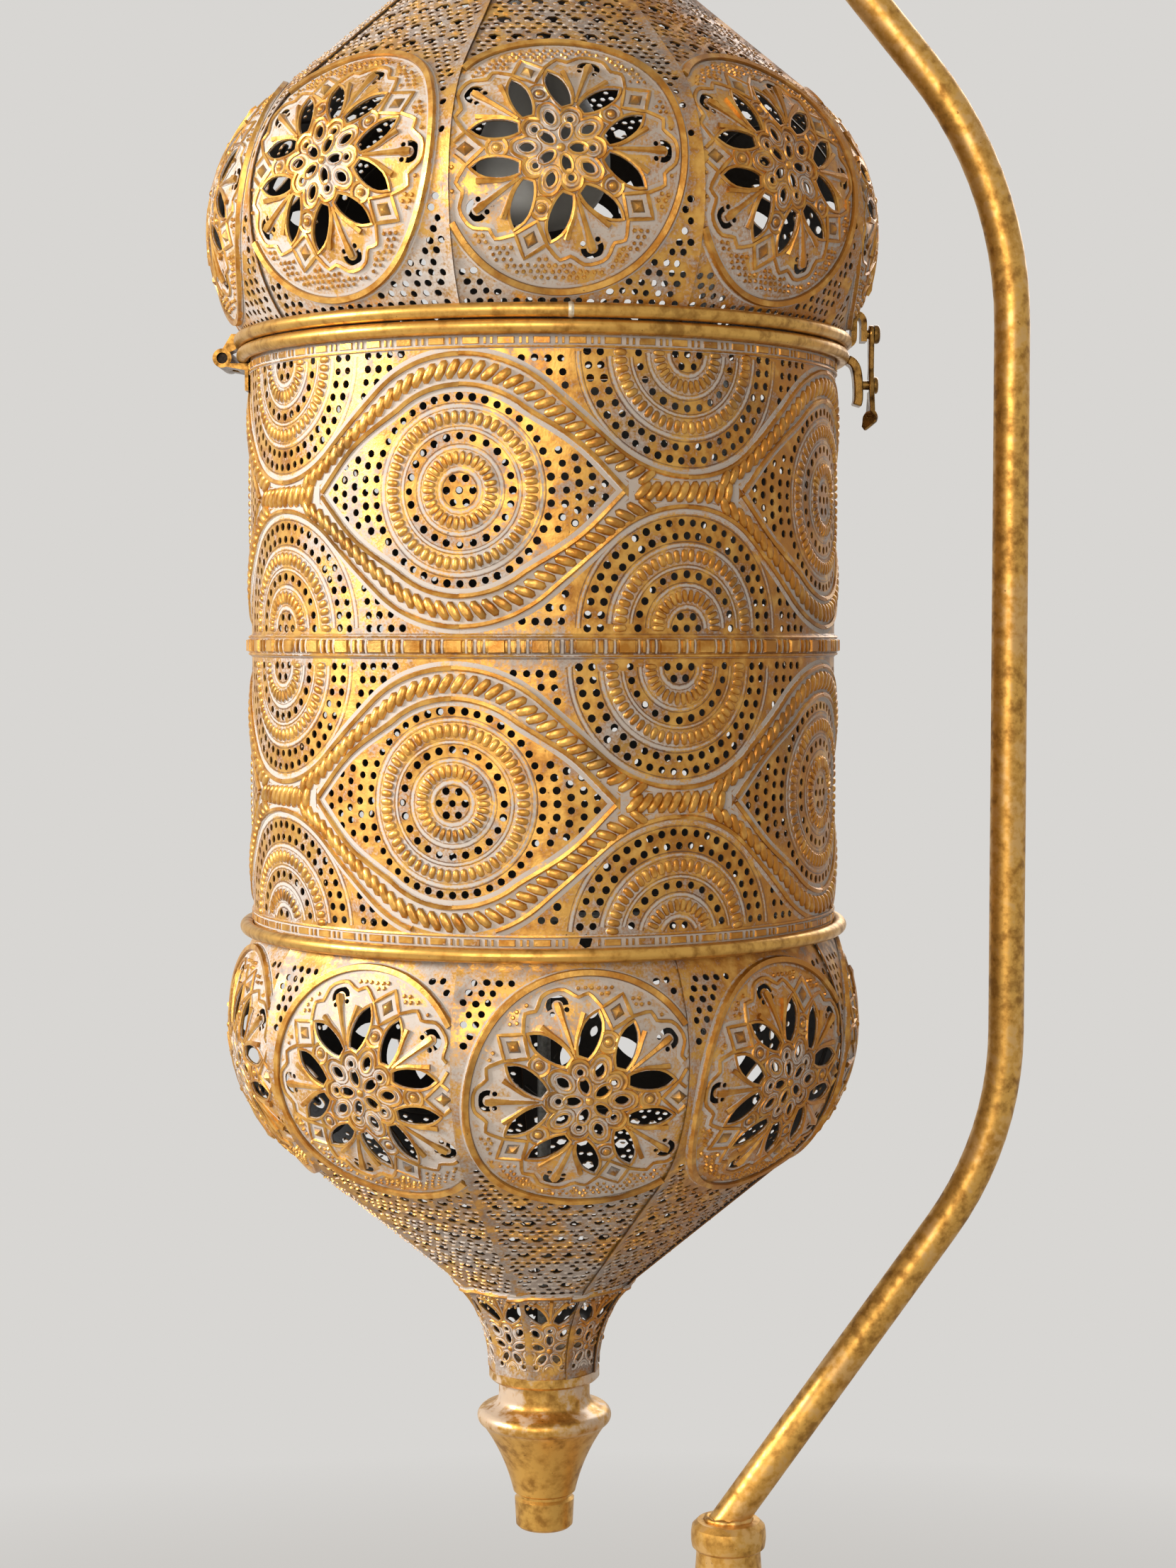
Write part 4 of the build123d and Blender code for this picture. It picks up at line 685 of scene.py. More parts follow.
def plainFinish(slot):
    # one colour that drifts into a second, with a fine grain
    name, first, second, metal, rough, size = plainFinishes[slot]
    clear = slot == "bulb_glass"
    material, tree, coords, noise = newMaterial(name, {"mottle": size}, 4.0)
    colour, share = layered(tree, first, {"drift": (second, noise["mottle"], 0.35, 0.7, 1.0)})
    inputs = {"Base Color": colour, "Metallic": metal, "Transmission Weight": float(clear)}
    smoothest, roughest = (max(0, rough + change) for change in plainSpread)
    strength, depth = plainBump
    return surfaced(material, inputs, {"Roughness": {
        "Value": noise["mottle"], "From Min": 0.3, "From Max": 0.7, "To Min": smoothest, "To Max": roughest,
    }}, noise["mottle"], 0.0 if clear else strength, depth)


sheetMaterial = gildedBrassSheet()
finishes = {kind: rubbedGilt(kind) for kind in giltFinish["kinds"]}
finishes.update({slot: plainFinish(slot) for slot in plainFinishes})
print("finishes", len(finishes) + 1)


# drum bands: an eye and half rosettes, joined by a rope

drumSettings = {
    "period": 189.8,  # mm from eye to eye
    "rosetteRise": 55.4,  # of a half rosette's centre from the band's middle
    "holeRadius": 1.62, "holeSpread": (0.92, 1.08), "holeShift": 0.1,
    "eyeReach": 75, "rosetteReach": 60,  # mm that each takes to the side
    "cluster": (5.6, 6),  # holes round a motif's middle, radius and number
    "eyeRings": ((21.8, 24), (37.6, 44)),  # radius and number of holes
    "rosetteRings": ((21.8, 24), (37.6, 44), (43.0, 50)),
    "ribRings": ((10.3, 16.1, 30), (26.7, 32.4, 54)),  # inner and outer radius, number of ribs
    "ribHeight": 1.4, "ribShare": 0.47,  # half of a rib's width as a share of the pitch
    "ribOver": 0.1, "ribHalo": 0.5,  # mm that a rib and its wash pass the ring
    "turnSpread": {"rib": 0.02, "strand": 0.03},  # random, in radians
    "washRings": ((8.8, 1.6), (17.6, 1.35), (25.0, 0.95), (34.0, 1.5)),  # radius and half width
    "rosetteWash": (46.8, 1.3),
    "endRings": (43.2, 48.7, 54.2, 59.5), "endPitch": 5.4,  # rows of holes towards an eye's corners
    "cornerRings": (53.6, 58.9, 64.2, 69.5), "cornerPitch": 5.5,  # and round the rosettes
    "holeGap": (3.3, 3.2),  # of those holes from the lens and from the outer line
    "lens": (42.5, 50.6, (48.5, 19.0), (67, 0.8)),  # arc's radius and end in degrees, points of the tip
    "outerLine": (54.8, 49.4), "ropeLine": (48.7, 53.0),  # radius round the eye and round the rosette
    "lensRadius": 1.25, "outerRadius": 1.2, "lineHalo": 1.7,
    "ropePitch": 5.0, "ropeEnd": 80.5, "ropeMeets": 4.2,
    "strand": (4.9, 2.1, 2.1), "mergedStrand": (5.2, 2.1, 2.1),
    "ropeSlant": ((-45, 0, 45), (52, 58, 26)),  # strand's lean off the rope, by the rope's bearing
    "mergedRope": (72.8, 117.0, 10, 47, 78),  # from, to, strands, first and last lean
    "mergedWash": 69,  # where its wash starts
    "washWidths": {"rope": 4.7, "merged": 4.4, "dash": 2.2},
    "chalk": {"line": 0.82, "rib": 0.6, "rosette": 0.8, "rope": 0.9, "merged": 0.88, "dash": 0.9},
    "eyeAzimuth": {"upper": -14.1, "lower": -15.6},  # degrees from the front
    "middle": {"upper": -0.0682, "lower": -0.1946},  # m from the seam
    "edges": {"upper": (-56.2, 55.9), "lower": (-52.4, 56.4)},  # mm from the band's middle
    "seamMargin": 2.5,
    "dashes": {"upper": 59.8, "lower": -56.4},
    "dashPitch": 14.4, "dashMarks": ((0, 3.9), (5.85, 0.55), (8.55, 0.55)),  # place and half width
    "dashTall": 1.5, "dashHeight": 0.8, "dashStart": 8,
    "border": {"upper": 57.3, "lower": -53.8}, "borderRadius": 0.7,
    "edgeLine": (2, 240),  # mm from the seam at the back, and number of points
    "chip": {"lower": (19.2, -55.8, 2.9)},  # a chip out of the edge: place and half size
    "chipTurn": 0.3, "chipTall": 1.15, "chipGaps": (1, 1.5),  # gaps from the wash and from the dashes
    "ground": (0.53, 0.475, 0.4),  # chalk outside and inside the edges, grime with painted shade
    "sheetStep": 4.2, "sheetThickness": 0.8,
}


def tangentPath(eyeRadius, rosetteRadius, rosetteU, rosetteV):
    # from the top of the eye over to the bottom of the rosette, arc, straight and arc
    apart = math.hypot(rosetteU, rosetteV)
    bearing = math.degrees(math.atan2(rosetteV, rosetteU))
    lean = math.degrees(math.acos((eyeRadius + rosetteRadius) / apart))
    first = arcPoints(0, 0, eyeRadius, 90, bearing + lean)
    second = arcPoints(rosetteU, rosetteV, rosetteRadius, 180 + bearing + lean, 270)
    count = max(2, int(np.linalg.norm(second[0] - first[-1]) / 2.4))
    run = first[-1] + np.outer(np.arange(1, count) / count, second[0] - first[-1])
    return np.vstack([first, run, second])


def drumRelief(band):
    k = drumSettings
    chalk = k["chalk"]
    wide = k["washWidths"]
    half = k["period"] / 2
    rise = k["rosetteRise"]
    low, high = k["edges"][band]
    shift = math.radians(k["eyeAzimuth"][band]) * drumRadius / mm
    relief = Relief()
    lensRadius, lensEnd, *lensTip = k["lens"]
    lens = np.vstack([arcPoints(0, 0, lensRadius, 90, lensEnd),
                      smoothLine([polar(lensRadius, lensEnd), *lensTip])[1:]])
    outer = tangentPath(*k["outerLine"], half, rise)
    rope = tangentPath(*k["ropeLine"], half, rise)
    rope = rope[rope[:, 0] < k["ropeEnd"]]

    def inside(points):
        p = np.atleast_2d(points)
        return (p[:, 1] > low) & (p[:, 1] < high) & (np.abs(p[:, 0]) < halfGirth - k["seamMargin"])

    def holes(spots):
        for u, v in spots:
            if inside((u, v)):
                radius = k["holeRadius"] * rng.uniform(*k["holeSpread"])
                relief.punch("round", u + rng.normal(0, k["holeShift"]), v + rng.normal(0, k["holeShift"]),
                             rng.uniform(0, 6), radius, radius)

    def ringedMotif(cu, cv, rings):
        # hole cluster, ribbed rings and rings of holes, as in the eyes and the half rosettes
        clusterRadius, clusterCount = k["cluster"]
        holes([(cu, cv), *around(cu, cv, clusterRadius, ringAngles(clusterCount))])
        for radius, halfWidth in k["washRings"]:
            relief.film(circlePoints(cu, cv, radius), halfWidth, chalk["line"], True, inside)
        for inner, outerR, count in k["ribRings"]:
            middle = (inner + outerR) / 2
            long = (outerR - inner) / 2
            relief.film(circlePoints(cu, cv, middle), long + k["ribHalo"], chalk["rib"], True, inside)
            for a, (u, v) in zip(ringAngles(count), around(cu, cv, middle, ringAngles(count))):
                if inside((u, v)):
                    lean = a + rng.normal(0, k["turnSpread"]["rib"])
                    relief.stamp("pill", u, v, lean, long + k["ribOver"],
                                 k["ribShare"] * 2 * math.pi * middle / count, k["ribHeight"])
        for radius, count in rings:
            holes(around(cu, cv, radius, ringAngles(count)))

    def strands(eyeU, side, up):
        relief.film(rope * [side, up] + [eyeU, 0], wide["rope"], chalk["rope"], False, inside)
        spots, bearings = evenly(rope, k["ropePitch"])
        for (u, v), heading in zip(spots, side * np.degrees(bearings)):
            spot = (eyeU + side * u, up * v)
            if v > k["ropeMeets"] and inside(spot):
                lean = math.radians(up * (heading + np.interp(heading, *k["ropeSlant"])))
                lean += rng.normal(0, k["turnSpread"]["strand"])
                relief.stamp("pill", *spot, lean, *k["strand"])

    def eye(eyeU):
        ringedMotif(eyeU, 0, k["eyeRings"])
        # more holes towards the two corners
        for row, radius in enumerate(k["endRings"]):
            for side in (-1, 1):
                angles = (np.arange(-3, 4) + 0.5 * (row % 2)) * k["endPitch"] / radius
                for u, v in around(0, 0, radius, angles):
                    if abs(v) < np.interp(u, lens[:, 0], lens[:, 1]) - k["holeGap"][0]:
                        holes([(eyeU + side * u, v)])
        for side in (-1, 1):
            for up in (-1, 1):
                for points, radius in ((lens, k["lensRadius"]), (outer, k["outerRadius"])):
                    points = points * [side, up] + [eyeU, 0]
                    relief.line(points, radius, False, inside)
                    relief.film(points, radius + k["lineHalo"], chalk["line"], False, inside)
                strands(eyeU, side, up)
        # the two ropes run on as one between two eyes
        start, end, count, firstLean, lastLean = k["mergedRope"]
        merged = levelLine(half - k["mergedWash"], 0, 22) + [eyeU + half, 0]
        relief.film(merged, wide["merged"], chalk["merged"], False, inside)
        for i, lean in enumerate(np.radians(np.linspace(firstLean, lastLean, count))):
            u = eyeU + start + (i + 0.5) * (end - start) / count
            if inside((u, 0)):
                relief.stamp("pill", u, 0, lean, *k["mergedStrand"])

    def corners(rosetteU, rosetteV):
        # holes between a rosette, an eye's outer line and the band's edge
        for radius in k["cornerRings"]:
            count = int(2 * math.pi * radius / k["cornerPitch"])
            for u, v in around(rosetteU, rosetteV, radius, ringAngles(count)):
                toEye = abs((u - shift + half) % k["period"] - half)
                if v * np.sign(rosetteV) > np.interp(toEye, outer[:, 0], outer[:, 1]) + k["holeGap"][1]:
                    holes([(u, v)])

    eyes = np.arange(-4, 5) * k["period"] + shift
    for eyeU in eyes[np.abs(eyes) < halfGirth + k["eyeReach"]]:
        eye(eyeU)
    rosettes = eyes + half
    for rosetteU in rosettes[np.abs(rosettes) < halfGirth + k["rosetteReach"]]:
        for rosetteV in (-rise, rise):
            ringedMotif(rosetteU, rosetteV, k["rosetteRings"])
            radius, halfWidth = k["rosetteWash"]
            relief.film(circlePoints(rosetteU, rosetteV, radius), halfWidth, chalk["rosette"], True, inside)
            corners(rosetteU, rosetteV)

    # dashes along the sheet's edge under the rim wire
    dashV = k["dashes"][band]
    chipU, chipV, chipSize = k["chip"].get(band, (-halfGirth, 0, 0))

    def whole(u, margin):
        return np.abs(u - chipU) > chipSize + margin

    fromSeam, count = k["edgeLine"]
    washGap, dashGap = k["chipGaps"]
    relief.line(levelLine(halfGirth - fromSeam, k["border"][band], count), k["borderRadius"])
    relief.film(levelLine(halfGirth - fromSeam, dashV, count), wide["dash"], chalk["dash"], False,
                lambda p: whole(p[:, 0], washGap))
    reach = halfGirth - k["dashStart"]
    for u in np.arange(-reach, reach, k["dashPitch"]):
        for across, long in k["dashMarks"]:
            if whole(u + across - long, dashGap) and whole(u + across + long, dashGap):
                relief.stamp("pad", u + across, dashV, 0, long, k["dashTall"], k["dashHeight"])
    if chipSize:
        relief.punch("lozenge", chipU, chipV, k["chipTurn"], chipSize, chipSize * k["chipTall"])
    return relief


def drumSheet(band):
    k = drumSettings
    node = band + "_drum_sheet"
    low, high = (corner.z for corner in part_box(node))
    lowEdge, highEdge = k["edges"][band]
    outside, within, grimeAndShade = k["ground"]
    relief = drumRelief(band)
    middle = seamZ + k["middle"][band]
    levels = ((low - middle) / mm, (high - middle) / mm)
    rows = int((high - low) / mm / k["sheetStep"]) + 1

    def ground(u, v):
        return np.where((v < lowEdge) | (v > highEdge), outside, within), np.full(len(u), grimeAndShade)

    mesh = wrappedBand(band + "DrumSheet", relief, k, middle, levels, rows, ground)
    fitted(newObject(band + "PiercedSheet", mesh), "drum", node)
    print("drum", band, triangleCount(mesh), "triangles", len(relief.punches), "holes",
          len(relief.stamps), "stamps")


for band in ("upper", "lower"):
    drumSheet(band)


# dome and bowl: nine lapped panels each, with a pierced flower in an oval ring, a net and a second flower

panelSettings = {
    "count": 9,
    "firstSeam": -104.0,  # degrees from +X, as in the solids
    "swell": {"dome": 17.9, "bowl": 11.0},  # mm from the drum's radius out to the bulge
    "drop": {"dome": 50.4, "bowl": 40.54},  # mm along the axis from the bulge to the rim
    "shoulder": 70.0, "skirt": 75.0, "throat": 62.0, "cone": 50.0, "neck": 24.6,  # mm and degrees
    "body": {"dome": "dome", "bowl": "drum"},
    "upward": {"dome": 1, "bowl": -1},
    "flowerAngle": 11.0,  # degrees round the bulge
    "flowerShift": 6.0,  # mm that the flower lies off the panel's middle
    "ringWide": 50.3,
    "ringTall": {"dome": 57.4, "bowl": 55.2},
    "ringRise": {"dome": 0.3, "bowl": 2.6},  # of the ring's middle over the flower's
    "ringRadius": 1.8, "ringHalo": 0.7, "ringChalk": 0.78, "ringStep": 2.6,  # step in degrees
    "pebblePitch": 2.8, "pebbleRadius": 1.2, "pebbleHeight": (0.8, 1.15),
    "pebbleGaps": (2.0, -4.4),  # from the flower and from the ring
    "holePitch": 5.0, "holeRadius": 1.5, "holeSpread": (0.9, 1.12),
    "rowShare": 0.87,  # height of a row of pebbles or holes by their pitch
    "shift": {"pebble": (0.16, 0.16), "hole": (0.2, 0.2), "slot": (0.25, 0.18)},  # random, across and up
    "tearShift": (0.4, 0.3, 0.25),  # the same, and its turn
    "ringGap": {"hole": 3.9, "tear": 5.0, "slot": 3.6},  # from the ring
    "sideGap": {"line": 1.6, "hole": 2.6, "tear": 4.4, "slot": 2.2},  # from the panel's sides
    "endGap": (3, 4),  # from the rim and from the neck
    "holeGap": (5, 3),  # of the round holes, from the rim and from the net
    "slotStart": 42.1, "slotRow": 3.6, "slotPitch": 4.3,  # net of small slots
    "slotLong": (1.35, 1.75), "slotTall": (1.2, 1.5), "slotTurn": 0.12,
    "tearStart": 78.1, "tearRow": 14.4, "tearPitch": 9.8, "tearRows": 6,  # larger slots, as in the solids
    "tearSize": (3.1, 2.9), "tearScales": ([0.85, 1.0, 1.2], [0.3, 0.45, 0.25]),  # scales and their shares
    "tearRoom": (4.9, 4.3),  # half width and height that a larger slot takes
    "barRoom": 0.55,  # share of that, squared, that the bars keep off
    "barRise": 1.8, "barLong": (1.3, 1.7), "barWide": 0.5, "barHeight": (0.5, 0.8),
    "netEnd": 159.0, "divideGap": 1.5, "flowerGap": 3.5,  # line and second flower past the net
    "neckRows": (2.4, 2.1, 5), "neckPebble": (0.95, 0.95, 0.7),  # pitch, row and start past the net
    "divide": (20, 1.3, 2.2, 0.9),  # line past the net: half length, radius, half width of its chalk, amount
    "secondFlower": (14.0, 0.8, 18),  # from the neck's edge, scale and turn
    "tuck": {"dome": 0.0, "bowl": 5.0},  # upright edge above the bend, inside the drum
    "lap": (1.4, 5.0),  # mm that the lapping edge stands proud, and over what width
    "overlap": 1.2,
    "chalk": (0.645, 0.58),  # ground inside the ring and outside it
    "grimeAndShade": (0.25, 0.58, 0.42), "netGrimeAndShadeGap": 4,  # grime and painted shade inside the ring, in the net and at the rim
    "sheetStep": 4.0, "sheetThickness": 0.8, "cols": 27,
}
halfPanel = math.radians(180 / panelSettings["count"])
flowerU = -panelSettings["flowerShift"]
flowerV = panelSettings["shoulder"] * math.radians(panelSettings["flowerAngle"])


def meridian(kind):
    # radius, height and outward normal along one panel's middle by arc length, from the rim to the neck
    k = panelSettings
    shoulder, skirt, throat, neck = (k[name] for name in ("shoulder", "skirt", "throat", "neck"))
    cone = math.radians(k["cone"])
    sine = math.sin(cone)
    cosine = math.cos(cone)
    bulge = drumRadius / mm + k["swell"][kind]
    coneR = bulge - shoulder * (1 - cosine)
    coneZ = shoulder * sine
    straight = (coneR - (neck + throat * (1 - cosine))) / sine
    coneFrom = shoulder * cone
    throatFrom = coneFrom + straight
    neckZ = coneZ + straight * cosine + throat * sine
    start = -skirt * math.asin(k["drop"][kind] / skirt)

    def at(s):
        s = np.asarray(s, float)
        zones = [s > throatFrom, s > coneFrom, s < 0]  # throat, cone and skirt; the shoulder is left
        angle = np.select(zones, [cone - (s - throatFrom) / throat, cone, np.maximum(s, start) / skirt],
                          s / shoulder)
        out = np.cos(angle)
        up = np.sin(angle)
        r = np.select(zones, [neck + throat * (1 - out), coneR - (s - coneFrom) * sine,
                              bulge - skirt * (1 - out)], bulge - shoulder * (1 - out))
        z = np.select(zones, [neckZ - throat * up, coneZ + (s - coneFrom) * cosine,
                              skirt * up + np.minimum(s - start, 0)], shoulder * up)
        return r, z, out, up

    return at, start, throatFrom + throat * cone


sheetLines = {kind: meridian(kind) for kind in ("dome", "bowl")}

flowerSettings = {  # mm from the middle, degrees off a spoke or off a fan
    "leafRoot": (18.6, 26), "leafTip": (36.6, 12), "leafHalf": 3.9,
    "leafEdge": (0.75, 0.8),  # raised edge's distance and radius
    "disc": (25.2, 4.3, 0.85), "discChalk": (1.2, 3.0), "discBoss": (1.7, 1.7, 1.6),
    "diamond": ((30.4, 0), (38.2, 10), (45.6, 0), (38.2, -10)), "diamondLine": (0.95, 1.5),
    "pyramidAt": 38, "pyramid": (3.4, 2.7, 1.9),
    "fanEdge": ((38.6, -26), (44.0, -18), (42.6, -12.5), (46.6, -6), (47.4, 0), (46.6, 6), (42.6, 12.5),
                (44.0, 18), (38.6, 26)), "fanLine": (0.95, 1.4),
    "club": (20.5, 42.0), "clubRadii": ((20, 36, 40, 42), (0.8, 1.35, 2.1, 1.6)), "clubHalo": 0.75,
    "ridge": ((22, 2.5), (27, 7), (31.5, 11.5), (36, 14.5)), "ridgeRadii": (0.7, 1.45), "ridgeHalo": 1.0,
    "fanHole": (38.5, 4.6, 1.1), "crescentAt": 41.2, "crescent": (4.4, 4.7),
    "openings": (  # punch, place, half sizes of the opening and of its edge, edge's radius, chalk
        ("leaf", 13.4, 0, (3.0, 1.8), (3.7, 2.5), 0.6, (5.1, 3.7, 1.1)),
        ("round", 12.6, 36, (1.3, 1.3), (2.0, 2.0), 0.55, (3.1, 3.1, 0.8)),
        ("leaf", 6.8, 36, (3.4, 1.8), (4.0, 2.5), 0.65, None),
    ),
    "lobes": ((0, 6, 11, 15, 18, 22, 26, 30, 36), (19.8, 19.3, 17.9, 15.8, 14.4, 15.9, 17.0, 17.5, 17.7)),
    "lobeLine": (0.85, 0.5), "boss": (1.9, 1.9, 1.5),
    "reach": ((0, 4, 10, 18, 23.5, 30, 36), (46.4, 44.5, 40, 44.6, 43.6, 47.6, 48.4)),
    "chalk": 0.82,
    "bold": (0.45, 0.55),  # a small flower keeps more of its lines' height and width
    "filmGap": 0.8, "lineGap": 0.6, "discFilm": 0.9,
}


def offSpoke(angle):
    return np.abs((angle + 36) % 72 - 36)


def flower(relief, cu, cv, scale, inside, turn):
    k = flowerSettings
    bold = k["bold"][0] + k["bold"][1] * scale
    leaves = []

    def spot(radius, angle):
        return polar(radius * scale, angle + turn) + [cu, cv]

    def clear(points, margin):
        # on the sheet and off the leaf openings
        keep = inside(points)
        for middle, bearing, half, wide in leaves:
            d = turned(points - middle, -bearing)
            x = d[:, 0] / (half + margin)
            y = np.abs(d[:, 1]) / (wide + margin)
            keep = keep & ((np.abs(x) > 1) | (y > petalRise(np.clip(x, -1, 1))))
        return keep

    def film(points, halfWidth, closed=True):
        relief.film(points, halfWidth, k["chalk"], closed, lambda p: clear(p, k["filmGap"] * halfWidth))

    def draw(points, radius, halo=0.0, closed=True):
        radii = np.broadcast_to(np.asarray(radius, float) * bold, (len(points),))
        relief.line(points, radii, closed, lambda p: clear(p, k["lineGap"] * bold))
        if halo:
            film(points, float(radii.mean()) + halo * bold, closed)

    def punch(kind, radius, angle, sx, sy):
        u, v = spot(radius, angle)
        bearing = turn if kind == "round" else angle + turn
        if inside((u, v)):
            relief.punch(kind, u, v, math.radians(bearing), sx * scale, sy * scale)

    def stamp(kind, radius, angle, sx, sy, sz):
        u, v = spot(radius, angle)
        if inside((u, v)):
            relief.stamp(kind, u, v, math.radians(angle + turn), sx * scale, sy * scale, sz * bold)

    def oval(radius, angle, sx, sy):
        ring = around(0, 0, scale, ringAngles(14)) * [sx, sy]
        return spot(radius, angle) + turned(ring, math.radians(angle + turn))

    def leafOpening(a, side):
        root, tip = (spot(radius, a + side * off) for radius, off in (k["leafRoot"], k["leafTip"]))
        middle = (root + tip) / 2
        along, across = tip - root
        bearing = math.atan2(across, along)
        half = np.linalg.norm(tip - root) / 2
        wide = k["leafHalf"] * scale
        away, radius = (size * bold for size in k["leafEdge"])
        if inside(middle):
            relief.punch("petal", *middle, bearing, half, wide)
        edge = middle + turned(petalOutline * [half + away, wide + away], bearing)
        relief.line(edge, radius, True, inside)
        leaves.append((middle, bearing, half, wide))

    spokes = range(0, 360, 72)
    for a in spokes:
        for side in (-1, 1):
            leafOpening(a, side)
    for a in spokes:
        discAt, discRadius, discLine = k["disc"]
        draw(oval(discAt, a, discRadius, discRadius), discLine)
        for radius in k["discChalk"]:
            film(oval(discAt, a, radius, radius), k["discFilm"] * scale)
        stamp("dome", discAt, a, *k["discBoss"])
        corners = [spot(r, a + off) for r, off in k["diamond"]]
        steps = np.arange(5)[:, None] / 5
        draw(np.vstack([p + steps * (q - p) for p, q in zip(corners, corners[1:] + corners[:1])]),
             *k["diamondLine"])
        stamp("pyramid", k["pyramidAt"], a, *k["pyramid"])
        # fan between two spokes
        f = a + 36
        draw(smoothLine([spot(r, f + off) for r, off in k["fanEdge"]]), *k["fanLine"], False)
        club = np.linspace(*k["club"], 9)
        draw([spot(r, f) for r in club], np.interp(club, *k["clubRadii"]), k["clubHalo"], False)
        holeAt, holeOff, holeRadius = k["fanHole"]
        for side in (-1, 1):
            ridge = smoothLine([spot(r, f + side * off) for r, off in k["ridge"]])
            draw(ridge, np.linspace(*k["ridgeRadii"], len(ridge)), k["ridgeHalo"], False)
            punch("round", holeAt, f + side * holeOff, holeRadius, holeRadius)
        punch("crescent", k["crescentAt"], f, *k["crescent"])
        # inner flower
        for kind, radius, off, opening, edge, line, chalk in k["openings"]:
            draw(oval(radius, a + off, *edge), line)
            if chalk:
                film(oval(radius, a + off, *chalk[:2]), chalk[2] * scale)
            punch(kind, radius, a + off, *opening)
    # scalloped outline of the inner flower, a large petal at each spoke and a small one between
    angles = np.arange(0, 360, 3.0)
    lobes = np.interp(offSpoke(angles), *k["lobes"])
    draw([spot(r, t) for r, t in zip(lobes, angles)], *k["lobeLine"])
    stamp("dome", 0, 0, *k["boss"])


def ringShare(kind, u, v, grow=0.0):
    # under 1 inside the oval ring round the large flower
    k = panelSettings
    across = (u - flowerU) / (k["ringWide"] + grow)
    up = (v - flowerV - k["ringRise"][kind]) / (k["ringTall"][kind] + grow)
    return across ** 2 + up ** 2


def panelRelief(kind):
    k = panelSettings
    at, start, end = sheetLines[kind]
    relief = Relief()

    def inside(points, what="line"):
        u, v = np.atleast_2d(points).T
        width = halfPanel * at(v)[0] - k["sideGap"][what]
        rim, neck = k["endGap"]
        return (np.abs(u) < width) & (v > start + rim) & (v < end - neck)

    def free(u, v, what):
        return ringShare(kind, u, v, k["ringGap"][what]) > 1 and inside((u, v), what)

    flower(relief, flowerU, flowerV, 1.0, inside, 180)
    angles = np.radians(np.arange(0, 360, k["ringStep"]))
    ring = around(0, 0, 1, angles) * [k["ringWide"], k["ringTall"][kind]]
    ring = ring + [flowerU, flowerV + k["ringRise"][kind]]
    relief.line(ring, k["ringRadius"], True, inside)
    relief.film(ring, k["ringRadius"] + k["ringHalo"], k["ringChalk"], True, inside)
    # pebbles between the flower and the ring
    pitch = k["pebblePitch"]
    flowerGap, ringGap = k["pebbleGaps"]
    rowPitch = pitch * k["rowShare"]
    for u, v in staggered(range(-26, 27), range(-24, 25), pitch, rowPitch, 0, k["shift"]["pebble"]):
        angle = math.degrees(math.atan2(v, u)) + 180
        clear = math.hypot(u, v) > np.interp(offSpoke(angle), *flowerSettings["reach"]) + flowerGap
        spot = (flowerU + u, flowerV + v)
        if clear and ringShare(kind, *spot, ringGap) < 1 and inside(spot):
            relief.stamp("pebble", *spot, rng.uniform(0, 1), k["pebbleRadius"], k["pebbleRadius"],
                         rng.uniform(*k["pebbleHeight"]))
    # round holes in the corners by the rim
    pitch = k["holePitch"]
    rimGap, netGap = k["holeGap"]
    rows = range(int(start / pitch) - 1, 9)
    for u, v in staggered(rows, range(-12, 13), pitch, pitch * k["rowShare"], 0, k["shift"]["hole"]):
        if start + rimGap < v < k["slotStart"] - netGap and free(u, v, "hole"):
            radius = k["holeRadius"]
            relief.punch("round", u, v, 0, radius * rng.uniform(*k["holeSpread"]), radius)
    # net: larger slots torn at even places, small ones in rows between them
    tears = []
    for u, v in staggered(range(k["tearRows"]), range(-6, 7), k["tearPitch"], k["tearRow"], k["tearStart"]):
        if free(u, v, "tear"):
            tears.append((u, v))
            scales, shares = k["tearScales"]
            long, tall = np.array(k["tearSize"]) * rng.choice(scales, p=shares)
            across, up, turn = (rng.normal(0, spread) for spread in k["tearShift"])
            relief.punch("lozenge", u + across, v + up, turn, long, tall)
    rows = range(int((k["netEnd"] - k["divideGap"] - k["slotStart"]) / k["slotRow"]) + 1)
    net = k["slotPitch"], k["slotRow"], k["slotStart"], k["shift"]["slot"]
    for u, v in staggered(rows, range(-14, 15), *net):
        if not free(u, v, "slot"):
            continue
        gap = np.min((((np.array(tears) - (u, v)) / k["tearRoom"]) ** 2).sum(axis=1))
        if gap > 1:
            relief.punch("lozenge", u, v, rng.normal(0, k["slotTurn"]), rng.uniform(*k["slotLong"]),
                         rng.uniform(*k["slotTall"]))
        if gap > k["barRoom"]:
            relief.stamp("bar", u, v + k["barRise"], rng.normal(0, k["slotTurn"]),
                         rng.uniform(*k["barLong"]), k["barWide"], rng.uniform(*k["barHeight"]))
    reach, radius, halfWidth, amount = k["divide"]
    divide = levelLine(reach, k["netEnd"] + k["divideGap"], 21)
    relief.line(divide, radius)
    relief.film(divide, halfWidth, amount)
    fromNeck, scale, turn = k["secondFlower"]
    flower(relief, 0, end - fromNeck, scale,
           lambda p: inside(p) & (np.atleast_2d(p)[:, 1] > k["netEnd"] + k["flowerGap"]), turn)
    pitch, rowPitch, pastNet = k["neckRows"]
    cols = np.arange(-16, 17, pitch) / pitch
    for spot in staggered(range(3), cols, pitch, rowPitch, k["netEnd"] + pastNet):
        if inside(spot):
            relief.stamp("pebble", *spot, 0, *k["neckPebble"])
    return relief


